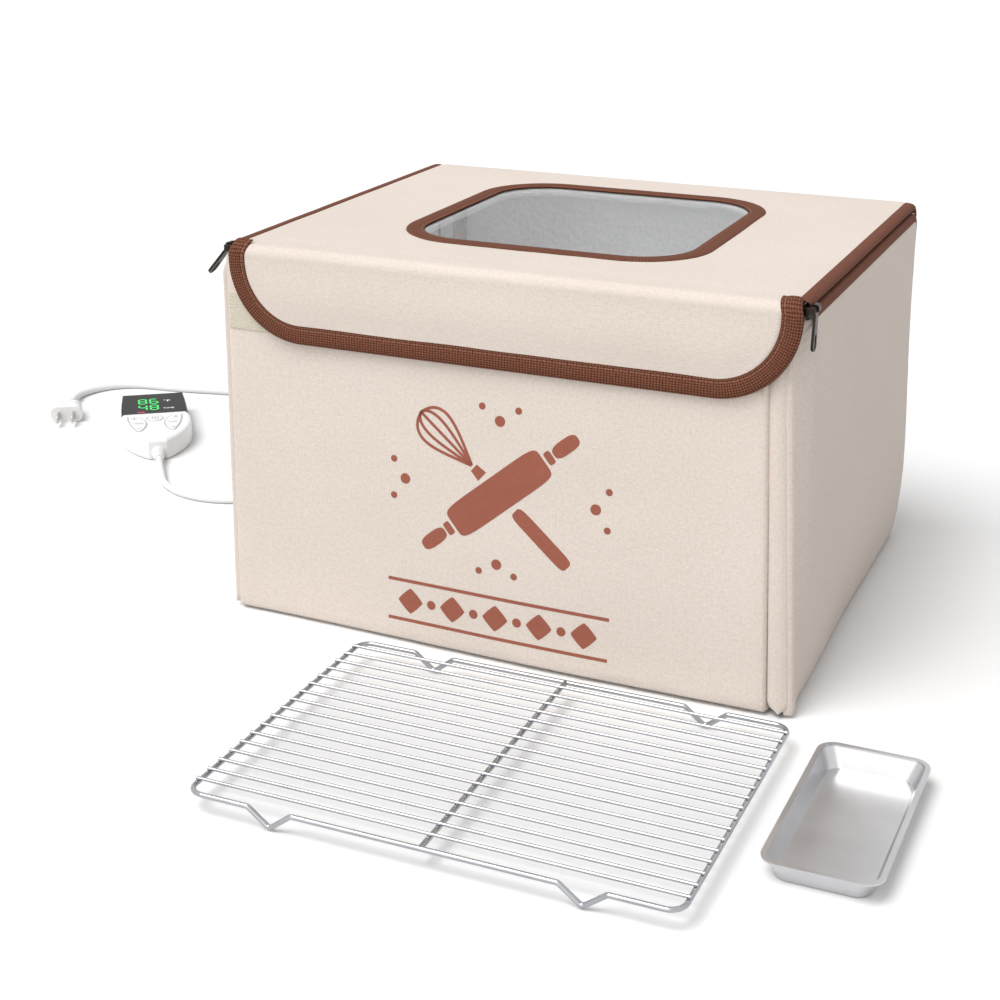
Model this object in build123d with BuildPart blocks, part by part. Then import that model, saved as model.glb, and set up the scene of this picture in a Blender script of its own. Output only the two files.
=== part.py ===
"""Folding dough proofer: a fabric-covered folding box with a heated floor, a zipped
window lid, a wired hand control, a wire rack and a small tray.

Millimetres. Origin: centre of the box's bottom face. +Z up, the box's front faces -Y.
"""
from build123d import *
from math import cos, pi, radians, sin, sqrt, tan
import os

os.makedirs("parts", exist_ok=True)

# ---------------------------------------------------------------- driving dimensions
# the box
WIDTH = 370.0
DEPTH = 300.0
HEIGHT = 250.0
BOARD = 5.0  # padded board of a wall, with its cloth
LINING = 1.0  # foil lining bonded to the board
FLOOR_BOARD = 6.0
BOTTOM_CLOTH = 1.5
BOTTOM_RIM_HEIGHT = 5.0
BOTTOM_RIM = 1.0  # thickness of the brown edge that stands round the bottom
CORNER_LEG = 11.0  # leg of the 45 degree strip at each front corner
CORNER_STRIP = 3.0  # its thickness
TAPE = 1.0  # woven tape of the zips and of the hook-and-loop strips

# clearances
HINGE_GAP = 0.3  # air at a cloth hinge
FOLD_GAP = 0.6  # air between two folded layers
KNEE_SPACE = 1.1  # from a wall's outer face to its knee pivot
SIDE_GAP = 0.5  # air between a folding wall and its neighbour

# heating mat
MAT_WIDTH = 280.0
MAT_DEPTH = 230.0
MAT_CORNER = 18.0
MAT_SKIN = 1.0
MAT_HEATER = 1.0
MAT_SEAM = 7.0

# lid, window and flap
LID_BOARD = 5.0
LID_OVERHANG = 2.0
WINDOW_WIDTH = 202.0
WINDOW_DEPTH = 208.0
WINDOW_SHIFT = 6.0
WINDOW_CORNER = 32.0
WINDOW_BINDING = 12.0
WINDOW_BINDING_PROUD = 1.2
PANE = 0.8
FLAP_BOARD = 4.0
FLAP_DROP = 60.0
FLAP_CORNER = 50.0
FLAP_BINDING = 12.5
FLAP_BINDING_PROUD = 0.5
LOOP_HEIGHT = 20.0
LOOP_DROP = 34.0  # from the box's top to the loop strip's upper edge
HOOK_HEIGHT = 12.0
REAR_STRIP_HEIGHT = 14.0
REAR_STRIP = 1.5

# zips
LID_TAPE_WIDTH = 7.0
SIDE_TAPE_WIDTH = 13.0
TEETH_WIDTH = 3.2
TEETH_HEIGHT = 3.2
TEETH_PITCH = 4.0
SLIDER_LENGTH = 11.6
SLIDER_WALL = 1.2
SLIDER_PLATE = 1.6
PULL_LENGTH = 25.0
PULL_WIDTH = 8.0
PULL_THICKNESS = 1.6
PULL_BAR_RADIUS = 0.9
PULL_EYE_RADIUS = 2.4
LEFT_PULL_TILT = 40.0
RIGHT_PULL_TILT = 0.0

# hand control
CONTROL_LENGTH = 128.0
CONTROL_WIDTH = 57.0
CONTROL_TOP_WIDTH = 53.0
CONTROL_TAIL_WIDTH = 15.0
CONTROL_HEIGHT = 18.0
CONTROL_SPLIT = 9.0
CONTROL_WALL = 2.0
DISPLAY_LENGTH = 57.0
CONTROL_ROUND = 3.0  # of its upper rim
CONTROL_SOLE_ROUND = 2.4
LENS = 1.6
POWER_RADIUS = 6.3
POWER_FROM_DISPLAY = 14.0
POWER_PROUD = 0.6
ROCKER_PROUD = 0.7
ROCKER_FROM_DISPLAY = 7.0
ROCKER_FROM_CORD = 24.0
BUTTON_GAP = 0.35
SCREW_RADIUS = 1.4
SCREW_HEAD_RADIUS = 2.6
CONTROL_AT = (-405.0, 68.0)  # its cord end on the counter
CONTROL_TURN = 36.0  # degrees from +Y towards -X

# cords and plug
LEAD_DIAMETER = 5.5
MAINS_DIAMETER = 6.0
CORD_SIDES = 12  # a cord's section is a polygon, which keeps its mesh light
COIL_AT = (-70.0, 236.0)
COIL_INNER = 25.0
COIL_OUTER = 49.0
COIL_HEIGHT = 12.6
BOOT_AT = 110.0  # along the left edge, from the centre
BOOT_LENGTH = 32.0
BOOT_HEIGHT = 9.0
BOOT_PITCH = 14.0  # between the two leads
RELIEF_LENGTH = 22.0
PLUG_AT = (-553.0, 149.0)  # where the mains cord enters the plug's neck
PLUG_TURN = 30.0
BLADE_SPACING = 12.7
BLADE_LENGTH = 16.0

# wire rack and tray
RACK_WIDTH = 280.0
RACK_DEPTH = 203.0
RACK_HEIGHT = 15.0
RACK_AT = (62.0, -292.0)
RACK_RIM_WIRE = 3.0
RACK_BAR_WIRE = 3.2  # the centre bar, front to back
RACK_WIRE = 2.0
RACK_WIRES = 17
RACK_CORNER = 9.0
RACK_FOOT_AT = 88.0
RACK_FOOT_HALF = 13.0
TRAY_WIDTH = 60.0
TRAY_DEPTH = 132.0
TRAY_HEIGHT = 13.0
TRAY_AT = (252.0, -268.0)
TRAY_WALL = 1.0
TRAY_FLARE = 5.0
TRAY_CORNER = 9.0

# ---------------------------------------------------------------- worked-out sizes
WALL = BOARD + LINING
HALF_W = WIDTH / 2
HALF_D = DEPTH / 2
SIDE_INNER = HALF_W - WALL  # inner face of a side wall
LONG_INNER = HALF_D - WALL  # inner face of the front and back walls
floor_top = BOTTOM_CLOTH + FLOOR_BOARD
lining_top = floor_top + LINING
mat_top = lining_top + 2 * MAT_SKIN + MAT_HEATER

# the walls fold flat on each other, so their hinge lines stand one above the other
left_hinge_z = mat_top + 0.8
right_hinge_z = left_hinge_z + WALL + TAPE + FOLD_GAP
long_hinge_z = right_hinge_z + WALL + TAPE + FOLD_GAP
lid_under = HEIGHT - LID_BOARD - LINING
rim_z = lid_under - FOLD_GAP  # top of the front and back walls
knee_z = (long_hinge_z + rim_z) / 2
knee_y = HALF_D + KNEE_SPACE

teeth_top = lid_under - 0.8
tape_top = teeth_top - TEETH_HEIGHT
side_top = tape_top - TAPE
side_front = -(HALF_D - CORNER_LEG) + HINGE_GAP
teeth_rear = LONG_INNER - 0.4
tape_rear = teeth_rear - TEETH_HEIGHT
side_rear = tape_rear - TAPE
teeth_x = SIDE_INNER + 1.2
strip_behind = CORNER_LEG + CORNER_STRIP * sqrt(2) + HINGE_GAP
front_half = HALF_W - CORNER_LEG - HINGE_GAP
back_half = SIDE_INNER - SIDE_GAP
lid_half = SIDE_INNER - SIDE_GAP  # outside of the lid's zip tape
lid_front = -(HALF_D + LID_OVERHANG)
lid_rear = HALF_D + 0.7

print(f"hinge heights: {left_hinge_z:.2f} {right_hinge_z:.2f} {long_hinge_z:.2f}")
print(f"knee: y {knee_y:.2f} z {knee_z:.2f}, rim z {rim_z:.2f}, lid under {lid_under:.2f}")
folded = long_hinge_z + 2 * (WALL + KNEE_SPACE) + HEIGHT - rim_z
print(f"height when folded: {folded:.1f}")


def save(builder, name):
    """Label a finished piece and write it to its own STEP file."""
    builder.part.label = name
    export_step(builder.part, f"parts/{name}.step")


def slab(x0, x1, y0, y1, z0, z1, mode=Mode.ADD):
    """A block between two corners, inside the current part."""
    with Locations(((x0 + x1) / 2, (y0 + y1) / 2, (z0 + z1) / 2)):
        Box(abs(x1 - x0), abs(y1 - y0), abs(z1 - z0), mode=mode)


def chamfered_plan(half_w, half_d, leg):
    """A rectangle whose two front corners are cut at 45 degrees, in the current sketch."""
    Polygon(
        (-half_w, half_d),
        (-half_w, -half_d + leg),
        (-half_w + leg, -half_d),
        (half_w - leg, -half_d),
        (half_w, -half_d + leg),
        (half_w, half_d),
        align=None,
    )


# ---------------------------------------------------------------- the floor of the box
with BuildPart() as bottom_cover:
    with BuildSketch():
        chamfered_plan(HALF_W + BOTTOM_RIM, HALF_D + BOTTOM_RIM, CORNER_LEG)
    extrude(amount=BOTTOM_RIM_HEIGHT)
    with BuildSketch(Plane.XY.offset(BOTTOM_CLOTH)):
        chamfered_plan(HALF_W, HALF_D, CORNER_LEG)
    extrude(amount=BOTTOM_RIM_HEIGHT, mode=Mode.SUBTRACT)
save(bottom_cover, "bottom_cover")

boot_z = BOTTOM_CLOTH + 0.5 + BOOT_HEIGHT / 2
with BuildPart() as floor_tray:
    with BuildSketch(Plane.XY.offset(BOTTOM_CLOTH)):
        chamfered_plan(HALF_W, HALF_D, strip_behind)
    extrude(amount=FLOOR_BOARD)
    kerb_front = -HALF_D + strip_behind
    for sign, top in ((-1, left_hinge_z), (1, right_hinge_z)):
        slab(sign * HALF_W, sign * SIDE_INNER, kerb_front, HALF_D, floor_top, top - HINGE_GAP)
    kerb_half = HALF_W - strip_behind
    slab(-kerb_half, kerb_half, -HALF_D, -LONG_INNER, floor_top, long_hinge_z - HINGE_GAP)
    slab(-back_half, back_half, LONG_INNER, HALF_D, floor_top, long_hinge_z - HINGE_GAP)
    slab(
        -HALF_W,
        -SIDE_INNER,
        BOOT_AT - BOOT_LENGTH / 2,
        BOOT_AT + BOOT_LENGTH / 2,
        boot_z - BOOT_HEIGHT / 2,
        left_hinge_z,
        mode=Mode.SUBTRACT,
    )
save(floor_tray, "floor_tray")

with BuildPart() as floor_lining:
    with BuildSketch(Plane.XY.offset(floor_top)):
        chamfered_plan(SIDE_INNER - HINGE_GAP, LONG_INNER - HINGE_GAP, CORNER_LEG)
    extrude(amount=LINING)
save(floor_lining, "floor_lining")

# ---------------------------------------------------------------- heating mat
pocket_w = MAT_WIDTH - 2 * MAT_SEAM
pocket_d = MAT_DEPTH - 2 * MAT_SEAM
with BuildPart() as mat_base:
    with BuildSketch(Plane.XY.offset(lining_top)):
        RectangleRounded(MAT_WIDTH, MAT_DEPTH, MAT_CORNER)
    extrude(amount=MAT_SKIN)
save(mat_base, "mat_base")

with BuildPart() as mat_cover:
    with BuildSketch(Plane.XY.offset(lining_top + MAT_SKIN)):
        RectangleRounded(MAT_WIDTH, MAT_DEPTH, MAT_CORNER)
    extrude(amount=MAT_HEATER + MAT_SKIN)
    with BuildSketch(Plane.XY.offset(lining_top + MAT_SKIN)):
        RectangleRounded(pocket_w, pocket_d, MAT_CORNER - MAT_SEAM)
    extrude(amount=MAT_HEATER, mode=Mode.SUBTRACT)
save(mat_cover, "mat_cover")

heater_rows = 9
heater_half = pocket_w / 2 - 14
heater_pitch = (pocket_d - 30) / (heater_rows - 1)
heater_points = []
for row in range(heater_rows):
    row_y = -(heater_rows - 1) * heater_pitch / 2 + row * heater_pitch
    ends = (-heater_half, heater_half) if row % 2 == 0 else (heater_half, -heater_half)
    heater_points += [(x, row_y) for x in ends]
with BuildPart() as heating_wire:
    with BuildSketch(Plane.XY.offset(lining_top + MAT_SKIN)):
        with BuildLine():
            run = FilletPolyline(*heater_points, radius=heater_pitch * 0.35)
        trace(run, line_width=2.0)
    extrude(amount=MAT_HEATER - 0.1)
save(heating_wire, "heating_wire")

# flat tail that carries the leads from the mat to the boot in the left kerb
with BuildPart() as mat_tail:
    slab(
        -SIDE_INNER,
        -MAT_WIDTH / 2 - HINGE_GAP,
        BOOT_AT - BOOT_PITCH,
        BOOT_AT + BOOT_PITCH,
        lining_top,
        mat_top - 0.2,
    )
    tail_rear = mat_tail.edges().filter_by(Axis.Z).group_by(Axis.X)[-1]
    fillet(tail_rear, 3)
save(mat_tail, "mat_tail")

# ---------------------------------------------------------------- side walls and their zips
for name, sign, hinge_z in (("left", -1, left_hinge_z), ("right", 1, right_hinge_z)):
    foot = hinge_z + HINGE_GAP
    with BuildPart() as side_panel:
        slab(sign * (SIDE_INNER + LINING), sign * HALF_W, side_front, side_rear, foot, side_top)
        outer = side_panel.faces().sort_by(Axis.X)[-1 if sign > 0 else 0]
        fillet(outer.edges().filter_by(Axis.Z), 2.0)
    save(side_panel, f"{name}_panel")

    with BuildPart() as side_lining:
        slab(sign * SIDE_INNER, sign * (SIDE_INNER + LINING), side_front, side_rear, foot, side_top)
    save(side_lining, f"{name}_lining")

    # the tape wraps the top edge and the rear edge of the wall
    tape_foot = long_hinge_z + 3
    with BuildPart() as side_tape:
        outer_x = HALF_W + TAPE
        slab(sign * SIDE_INNER, sign * outer_x, side_front, tape_rear, side_top, tape_top)
        slab(sign * SIDE_INNER, sign * outer_x, side_rear, tape_rear, tape_foot, tape_top)
        drop = side_top - SIDE_TAPE_WIDTH
        slab(sign * HALF_W, sign * outer_x, side_front, tape_rear, drop, side_top)
        turn = tape_rear - SIDE_TAPE_WIDTH
        slab(sign * HALF_W, sign * outer_x, turn, tape_rear, tape_foot, side_top)
    save(side_tape, f"{name}_zip_tape")

    # a row of teeth along the top and down the rear edge, cut as one comb in side view
    spine = TEETH_HEIGHT * 0.45
    comb = [(tape_rear, tape_foot), (tape_rear, tape_top), (side_front, tape_top)]
    comb.append((side_front, tape_top + spine))
    for i in range(int((tape_rear - side_front) / TEETH_PITCH)):
        start = side_front + 0.5 + i * TEETH_PITCH
        end = start + TEETH_PITCH * 0.55
        comb += [(start, tape_top + spine), (start, teeth_top)]
        comb += [(end, teeth_top), (end, tape_top + spine)]
    comb.append((tape_rear + spine, tape_top + spine))
    for i in range(int((tape_top - tape_foot) / TEETH_PITCH)):
        start = tape_top - i * TEETH_PITCH
        end = start - TEETH_PITCH * 0.55
        comb += [(tape_rear + spine, start), (teeth_rear, start)]
        comb += [(teeth_rear, end), (tape_rear + spine, end)]
    comb.append((tape_rear + spine, tape_foot))
    with BuildPart() as teeth:
        with BuildSketch(Plane.YZ.offset(sign * (teeth_x + TEETH_WIDTH / 2))):
            Polygon(*comb, align=None)
        extrude(amount=TEETH_WIDTH / 2, both=True)
    save(teeth, f"{name}_zip_teeth")

# ---------------------------------------------------------------- front and back walls
long_walls = {
    "front_lower": (-1, front_half, long_hinge_z + HINGE_GAP, knee_z - HINGE_GAP),
    "front_upper": (-1, front_half, knee_z + HINGE_GAP, rim_z - HINGE_GAP),
    "back_lower": (1, back_half, long_hinge_z + HINGE_GAP, knee_z - HINGE_GAP),
    "back_upper": (1, back_half, knee_z + HINGE_GAP, rim_z - HINGE_GAP),
}
for name, (side, half, z0, z1) in long_walls.items():
    with BuildPart() as wall_panel:
        slab(-half, half, side * (LONG_INNER + LINING), side * HALF_D, z0, z1)
        outer = wall_panel.faces().sort_by(Axis.Y)[-1 if side > 0 else 0]
        fillet(outer.edges().filter_by(Axis.Z), 2.0)
    save(wall_panel, f"{name}_panel")
    with BuildPart() as wall_lining:
        slab(-half, half, side * LONG_INNER, side * (LONG_INNER + LINING), z0, z1)
    save(wall_lining, f"{name}_lining")

loop_half = front_half - 4
with BuildPart() as loop_strip:
    slab(-loop_half, loop_half, -HALF_D - TAPE, -HALF_D, HEIGHT - LOOP_DROP - LOOP_HEIGHT, HEIGHT - LOOP_DROP)
save(loop_strip, "loop_strip")

# cloth strip down each front corner, its lower end rounded off
strip_foot = BOTTOM_RIM_HEIGHT + HINGE_GAP
strip_top = tape_top - HINGE_GAP
strip_width = (CORNER_LEG - HINGE_GAP) * sqrt(2)
for name, sign in (("left", -1), ("right", 1)):
    corner = Plane(
        origin=(sign * (HALF_W - CORNER_LEG / 2), -(HALF_D - CORNER_LEG / 2), 0),
        x_dir=(1, sign, 0),
        z_dir=(sign, -1, 0),
    )
    with BuildPart() as corner_strip:
        with BuildSketch(corner.offset(-CORNER_STRIP)):
            with Locations((0, (strip_foot + strip_top) / 2)):
                strip_face = Rectangle(strip_width, strip_top - strip_foot)
            fillet(strip_face.vertices().group_by(Axis.Z)[0], strip_width * 0.45)
        extrude(amount=CORNER_STRIP)
        slab(
            sign * (front_half + HINGE_GAP),
            sign * HALF_W,
            -HALF_D,
            side_front - HINGE_GAP,
            0,
            HEIGHT,
            mode=Mode.INTERSECT,
        )
    save(corner_strip, f"{name}_corner_strip")

# ---------------------------------------------------------------- lid
window_inner_w = WINDOW_WIDTH - 2 * WINDOW_BINDING
window_inner_d = WINDOW_DEPTH - 2 * WINDOW_BINDING
window_inner_r = WINDOW_CORNER - WINDOW_BINDING
pane_edge = 4.0  # the pane runs this far under the binding's inner edge
board_half = lid_half - TAPE

with BuildPart() as lid_panel:
    slab(-board_half, board_half, lid_front, lid_rear, lid_under + LINING, HEIGHT)
    with BuildSketch(Plane.XY.offset(lid_under + LINING)):
        with Locations((0, WINDOW_SHIFT)):
            RectangleRounded(window_inner_w, window_inner_d, window_inner_r)
    extrude(amount=LID_BOARD, mode=Mode.SUBTRACT)
    with BuildSketch(Plane.XY.offset(HEIGHT - PANE)):
        with Locations((0, WINDOW_SHIFT)):
            seat = pane_edge + HINGE_GAP
            RectangleRounded(
                window_inner_w + 2 * seat, window_inner_d + 2 * seat, window_inner_r + seat
            )
    extrude(amount=PANE, mode=Mode.SUBTRACT)
    front_edge = lid_panel.edges().filter_by(Axis.X).sort_by(Axis.Y)[:2].sort_by(Axis.Z)[-1]
    fillet(front_edge, 2.0)
save(lid_panel, "lid_panel")

with BuildPart() as lid_lining:
    slab(-board_half, board_half, lid_front, lid_rear, lid_under, lid_under + LINING)
    with BuildSketch(Plane.XY.offset(lid_under)):
        with Locations((0, WINDOW_SHIFT)):
            RectangleRounded(window_inner_w, window_inner_d, window_inner_r)
    extrude(amount=LINING, mode=Mode.SUBTRACT)
save(lid_lining, "lid_lining")

with BuildPart() as window_pane:
    with BuildSketch(Plane.XY.offset(HEIGHT - PANE)):
        with Locations((0, WINDOW_SHIFT)):
            RectangleRounded(
                window_inner_w + 2 * pane_edge,
                window_inner_d + 2 * pane_edge,
                window_inner_r + pane_edge,
            )
    extrude(amount=PANE)
save(window_pane, "window_pane")

with BuildPart() as window_binding:
    with BuildSketch(Plane.XY.offset(HEIGHT)):
        with Locations((0, WINDOW_SHIFT)):
            RectangleRounded(WINDOW_WIDTH, WINDOW_DEPTH, WINDOW_CORNER)
            RectangleRounded(
                window_inner_w, window_inner_d, window_inner_r, mode=Mode.SUBTRACT
            )
    extrude(amount=WINDOW_BINDING_PROUD)
save(window_binding, "window_binding")

for name, sign in (("left", -1), ("right", 1)):
    with BuildPart() as lid_tape:
        edge = sign * lid_half
        ends = (lid_front + LID_OVERHANG, lid_rear - HINGE_GAP)
        slab(sign * board_half, edge, *ends, lid_under, HEIGHT + TAPE * 0.8)
        slab(edge, sign * (lid_half - LID_TAPE_WIDTH), *ends, HEIGHT, HEIGHT + TAPE * 0.8)
    save(lid_tape, f"lid_{name}_tape")

# cloth hinge behind the back wall that the lid is sewn to
with BuildPart() as rear_strip:
    strip_y = knee_y
    slab(
        -back_half,
        back_half,
        strip_y,
        strip_y + REAR_STRIP,
        HEIGHT - REAR_STRIP_HEIGHT,
        HEIGHT - 0.4,
    )
save(rear_strip, "rear_strip")

# ---------------------------------------------------------------- front flap
flap_back = lid_front - 0.4  # also the line that the flap turns about
flap_half = lid_half - 1.5
flap_top = HEIGHT - HINGE_GAP
flap_foot = HEIGHT - FLAP_DROP


def flap_plan(inset):
    """The flap's outline, its lower corners rounded, drawn in from the sides by inset."""
    half = flap_half - inset
    foot = flap_foot + inset
    radius = FLAP_CORNER - inset
    diagonal = radius * (1 - sqrt(0.5))
    return [
        (-half, flap_top),
        (-half, foot + radius),
        (-half + diagonal, foot + diagonal),
        (-half + radius, foot),
        (half - radius, foot),
        (half - diagonal, foot + diagonal),
        (half, foot + radius),
        (half, flap_top),
    ]


flap_face = Plane(origin=(0, flap_back, 0), x_dir=(1, 0, 0), z_dir=(0, -1, 0))
with BuildPart() as flap_panel:
    with BuildSketch(flap_face):
        with BuildLine():
            p = flap_plan(FLAP_BINDING)
            Line(p[0], p[1])
            ThreePointArc(p[1], p[2], p[3])
            Line(p[3], p[4])
            ThreePointArc(p[4], p[5], p[6])
            Line(p[6], p[7])
            Line(p[7], p[0])
        make_face()
    extrude(amount=FLAP_BOARD)
save(flap_panel, "flap_panel")

with BuildPart() as flap_binding:
    with BuildSketch(flap_face):
        with BuildLine():
            p = flap_plan(0)
            q = flap_plan(FLAP_BINDING)
            Line(p[0], p[1])
            ThreePointArc(p[1], p[2], p[3])
            Line(p[3], p[4])
            ThreePointArc(p[4], p[5], p[6])
            Line(p[6], p[7])
            Line(p[7], q[7])
            Line(q[7], q[6])
            ThreePointArc(q[6], q[5], q[4])
            Line(q[4], q[3])
            ThreePointArc(q[3], q[2], q[1])
            Line(q[1], q[0])
            Line(q[0], p[0])
        make_face()
    extrude(amount=FLAP_BOARD + FLAP_BINDING_PROUD)
save(flap_binding, "flap_binding")

hook_half = flap_half - FLAP_CORNER + 20
with BuildPart() as hook_strip:
    hook_foot = flap_foot + FLAP_BINDING + 1.5
    slab(-hook_half, hook_half, flap_back, flap_back + TAPE, hook_foot, hook_foot + HOOK_HEIGHT)
save(hook_strip, "hook_strip")

# ---------------------------------------------------------------- zip sliders and pulls
slider_rear = side_front - 1.2
slider_front = slider_rear - SLIDER_LENGTH
slider_mid = (slider_front + slider_rear) / 2
channel_x0 = teeth_x - 0.4
channel_x1 = teeth_x + TEETH_WIDTH + 0.4
plate_z = teeth_top + 0.6
plate_outer = channel_x1 + SLIDER_WALL
bar_x = plate_outer + PULL_EYE_RADIUS + 0.3
bar_z = plate_z + SLIDER_PLATE + 1.1
for name, sign, tilt in (("left", -1, LEFT_PULL_TILT), ("right", 1, RIGHT_PULL_TILT)):
    with BuildPart() as slider:
        x_in = sign * (channel_x0 - 0.8)
        x_out = sign * plate_outer
        slab(x_in, x_out, slider_front, slider_rear, plate_z, plate_z + SLIDER_PLATE)
        slab(x_in, sign * channel_x0, slider_front, slider_rear, tape_top + 0.4, plate_z)
        slab(sign * channel_x1, x_out, slider_front, slider_rear, tape_top + 0.4, plate_z)
        plate_top = slider.faces().sort_by(Axis.Z)[-1]
        fillet(plate_top.edges().filter_by(Axis.Y), 0.5)
        ear = 1.8
        for y0 in (slider_front, slider_rear - ear):
            slab(
                sign * (plate_outer - 2),
                sign * (bar_x + PULL_BAR_RADIUS + 0.3),
                y0,
                y0 + ear,
                plate_z,
                bar_z + PULL_BAR_RADIUS + 0.3,
            )
        with Locations((sign * bar_x, slider_mid, bar_z)):
            Cylinder(PULL_BAR_RADIUS, SLIDER_LENGTH - 0.2, rotation=(90, 0, 0))
    save(slider, f"{name}_slider")

    tilt_r = radians(tilt)
    hang = Plane(
        origin=(sign * bar_x, slider_mid, bar_z),
        x_dir=(0, sign, 0),
        z_dir=(sign * cos(tilt_r), 0, sin(tilt_r)),
    )
    with BuildPart() as pull:
        with BuildSketch(hang.offset(-PULL_THICKNESS / 2)):
            with BuildLine():
                neck = PULL_WIDTH * 0.32
                wide = PULL_WIDTH / 2
                foot_y = -PULL_LENGTH + wide
                Line((-neck, -1.6), (neck, -1.6))
                Line((neck, -1.6), (wide, foot_y))
                ThreePointArc((wide, foot_y), (0, -PULL_LENGTH), (-wide, foot_y))
                Line((-wide, foot_y), (-neck, -1.6))
            make_face()
            with Locations((0, foot_y + 1.5)):
                SlotOverall(9.0, 3.2, rotation=90, mode=Mode.SUBTRACT)
        extrude(amount=PULL_THICKNESS)
        with BuildSketch(Plane(origin=hang.origin, x_dir=hang.z_dir, z_dir=hang.x_dir)):
            Circle(PULL_EYE_RADIUS)
        extrude(amount=PULL_WIDTH * 0.3, both=True)
        with BuildSketch(Plane(origin=hang.origin, x_dir=hang.z_dir, z_dir=hang.x_dir)):
            Circle(PULL_BAR_RADIUS + 0.3)
        extrude(amount=PULL_WIDTH, both=True, mode=Mode.SUBTRACT)
    save(pull, f"{name}_pull")

# ---------------------------------------------------------------- hand control
turn = radians(CONTROL_TURN)
control = Plane(
    origin=(*CONTROL_AT, 0),
    x_dir=(cos(turn), sin(turn), 0),
    z_dir=(0, 0, 1),
)
display_y = CONTROL_LENGTH - DISPLAY_LENGTH  # where the display ends, from the cord end
lens_seat = CONTROL_HEIGHT - LENS


def control_plan(inset):
    """Points and mid-points of the case's outline, drawn in by inset."""
    top = CONTROL_LENGTH - inset
    tail = CONTROL_TAIL_WIDTH / 2
    wide = CONTROL_WIDTH / 2 - inset
    shoulder = CONTROL_TOP_WIDTH / 2 - inset
    return {
        "shoulder": (shoulder, top),
        "upper_mid": (wide - 0.6, (top + display_y) / 2),
        "wide": (wide, display_y),
        "lower_mid": (wide * 0.86, display_y * 0.36 + inset),
        "tail": (tail, inset),
    }


def mirrored(point):
    """The same point on the left of the case."""
    return (-point[0], point[1])


def control_case(z0, z1, inset):
    """A solid of the case's outline between two heights."""
    c = control_plan(inset)
    edges = [
        ThreePointArc(c["shoulder"], c["upper_mid"], c["wide"]),
        ThreePointArc(c["wide"], c["lower_mid"], c["tail"]),
        Line(c["tail"], mirrored(c["tail"])),
        ThreePointArc(mirrored(c["tail"]), mirrored(c["lower_mid"]), mirrored(c["wide"])),
        ThreePointArc(mirrored(c["wide"]), mirrored(c["upper_mid"]), mirrored(c["shoulder"])),
        Line(mirrored(c["shoulder"]), c["shoulder"]),
    ]
    face = Face(Wire(edges))
    return Solid.extrude(face, Vector(0, 0, z1 - z0)).moved(Location((0, 0, z0)))


def rocker_plan(side, grow):
    """A leaf-shaped rocker key beside the power button, grown by grow."""
    outer_x = CONTROL_WIDTH / 2 - 6.0 + grow
    inner_x = CONTROL_WIDTH / 2 - 20.5 - grow
    top_y = display_y - ROCKER_FROM_DISPLAY + grow
    low_y = ROCKER_FROM_CORD - grow
    a = (side * outer_x, top_y)
    b = (side * (outer_x - 7.5), low_y)
    c = (side * (inner_x + 5.5), low_y)
    d = (side * (inner_x + 7.5), top_y)
    outer_mid = (side * (outer_x - 1.7), (top_y + low_y) / 2)
    inner_mid = (side * inner_x, (top_y + low_y) / 2 - 3)
    edges = [
        ThreePointArc(a, outer_mid, b),
        Line(b, c),
        ThreePointArc(c, inner_mid, d),
        Line(d, a),
    ]
    return Face(Wire(edges))


def upright(face, z0, z1):
    """A face of the case's plan raised between two heights."""
    return Solid.extrude(face, Vector(0, 0, z1 - z0)).moved(Location((0, 0, z0)))


power_y = display_y - POWER_FROM_DISPLAY
screw_spots = [(-13.0, 20.0), (13.0, 20.0), (-19.0, CONTROL_LENGTH - 12), (19.0, CONTROL_LENGTH - 12)]
boss_radius = SCREW_RADIUS + 1.8
module_half = 15.0
place = control.location

with BuildPart() as control_base:
    add(control_case(0, CONTROL_SPLIT, 0))
    base_edges = control_base.faces().sort_by(Axis.Z)[0].edges()
    fillet(base_edges, CONTROL_SOLE_ROUND)
    add(control_case(CONTROL_WALL, CONTROL_SPLIT, CONTROL_WALL), mode=Mode.SUBTRACT)
    with Locations(*[(x, y, CONTROL_WALL - 0.5) for x, y in screw_spots]):
        boss = CONTROL_SPLIT - 2 * CONTROL_WALL
        Cylinder(boss_radius, boss, align=(Align.CENTER, Align.CENTER, Align.MIN))
    with Locations(*[Location((x, y, 0), (180, 0, 0)) for x, y in screw_spots]):
        CounterBoreHole(SCREW_RADIUS + 0.1, SCREW_HEAD_RADIUS + 0.2, 1.8, CONTROL_SPLIT)
control_base.part = control_base.part.moved(place)
save(control_base, "control_base")

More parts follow.
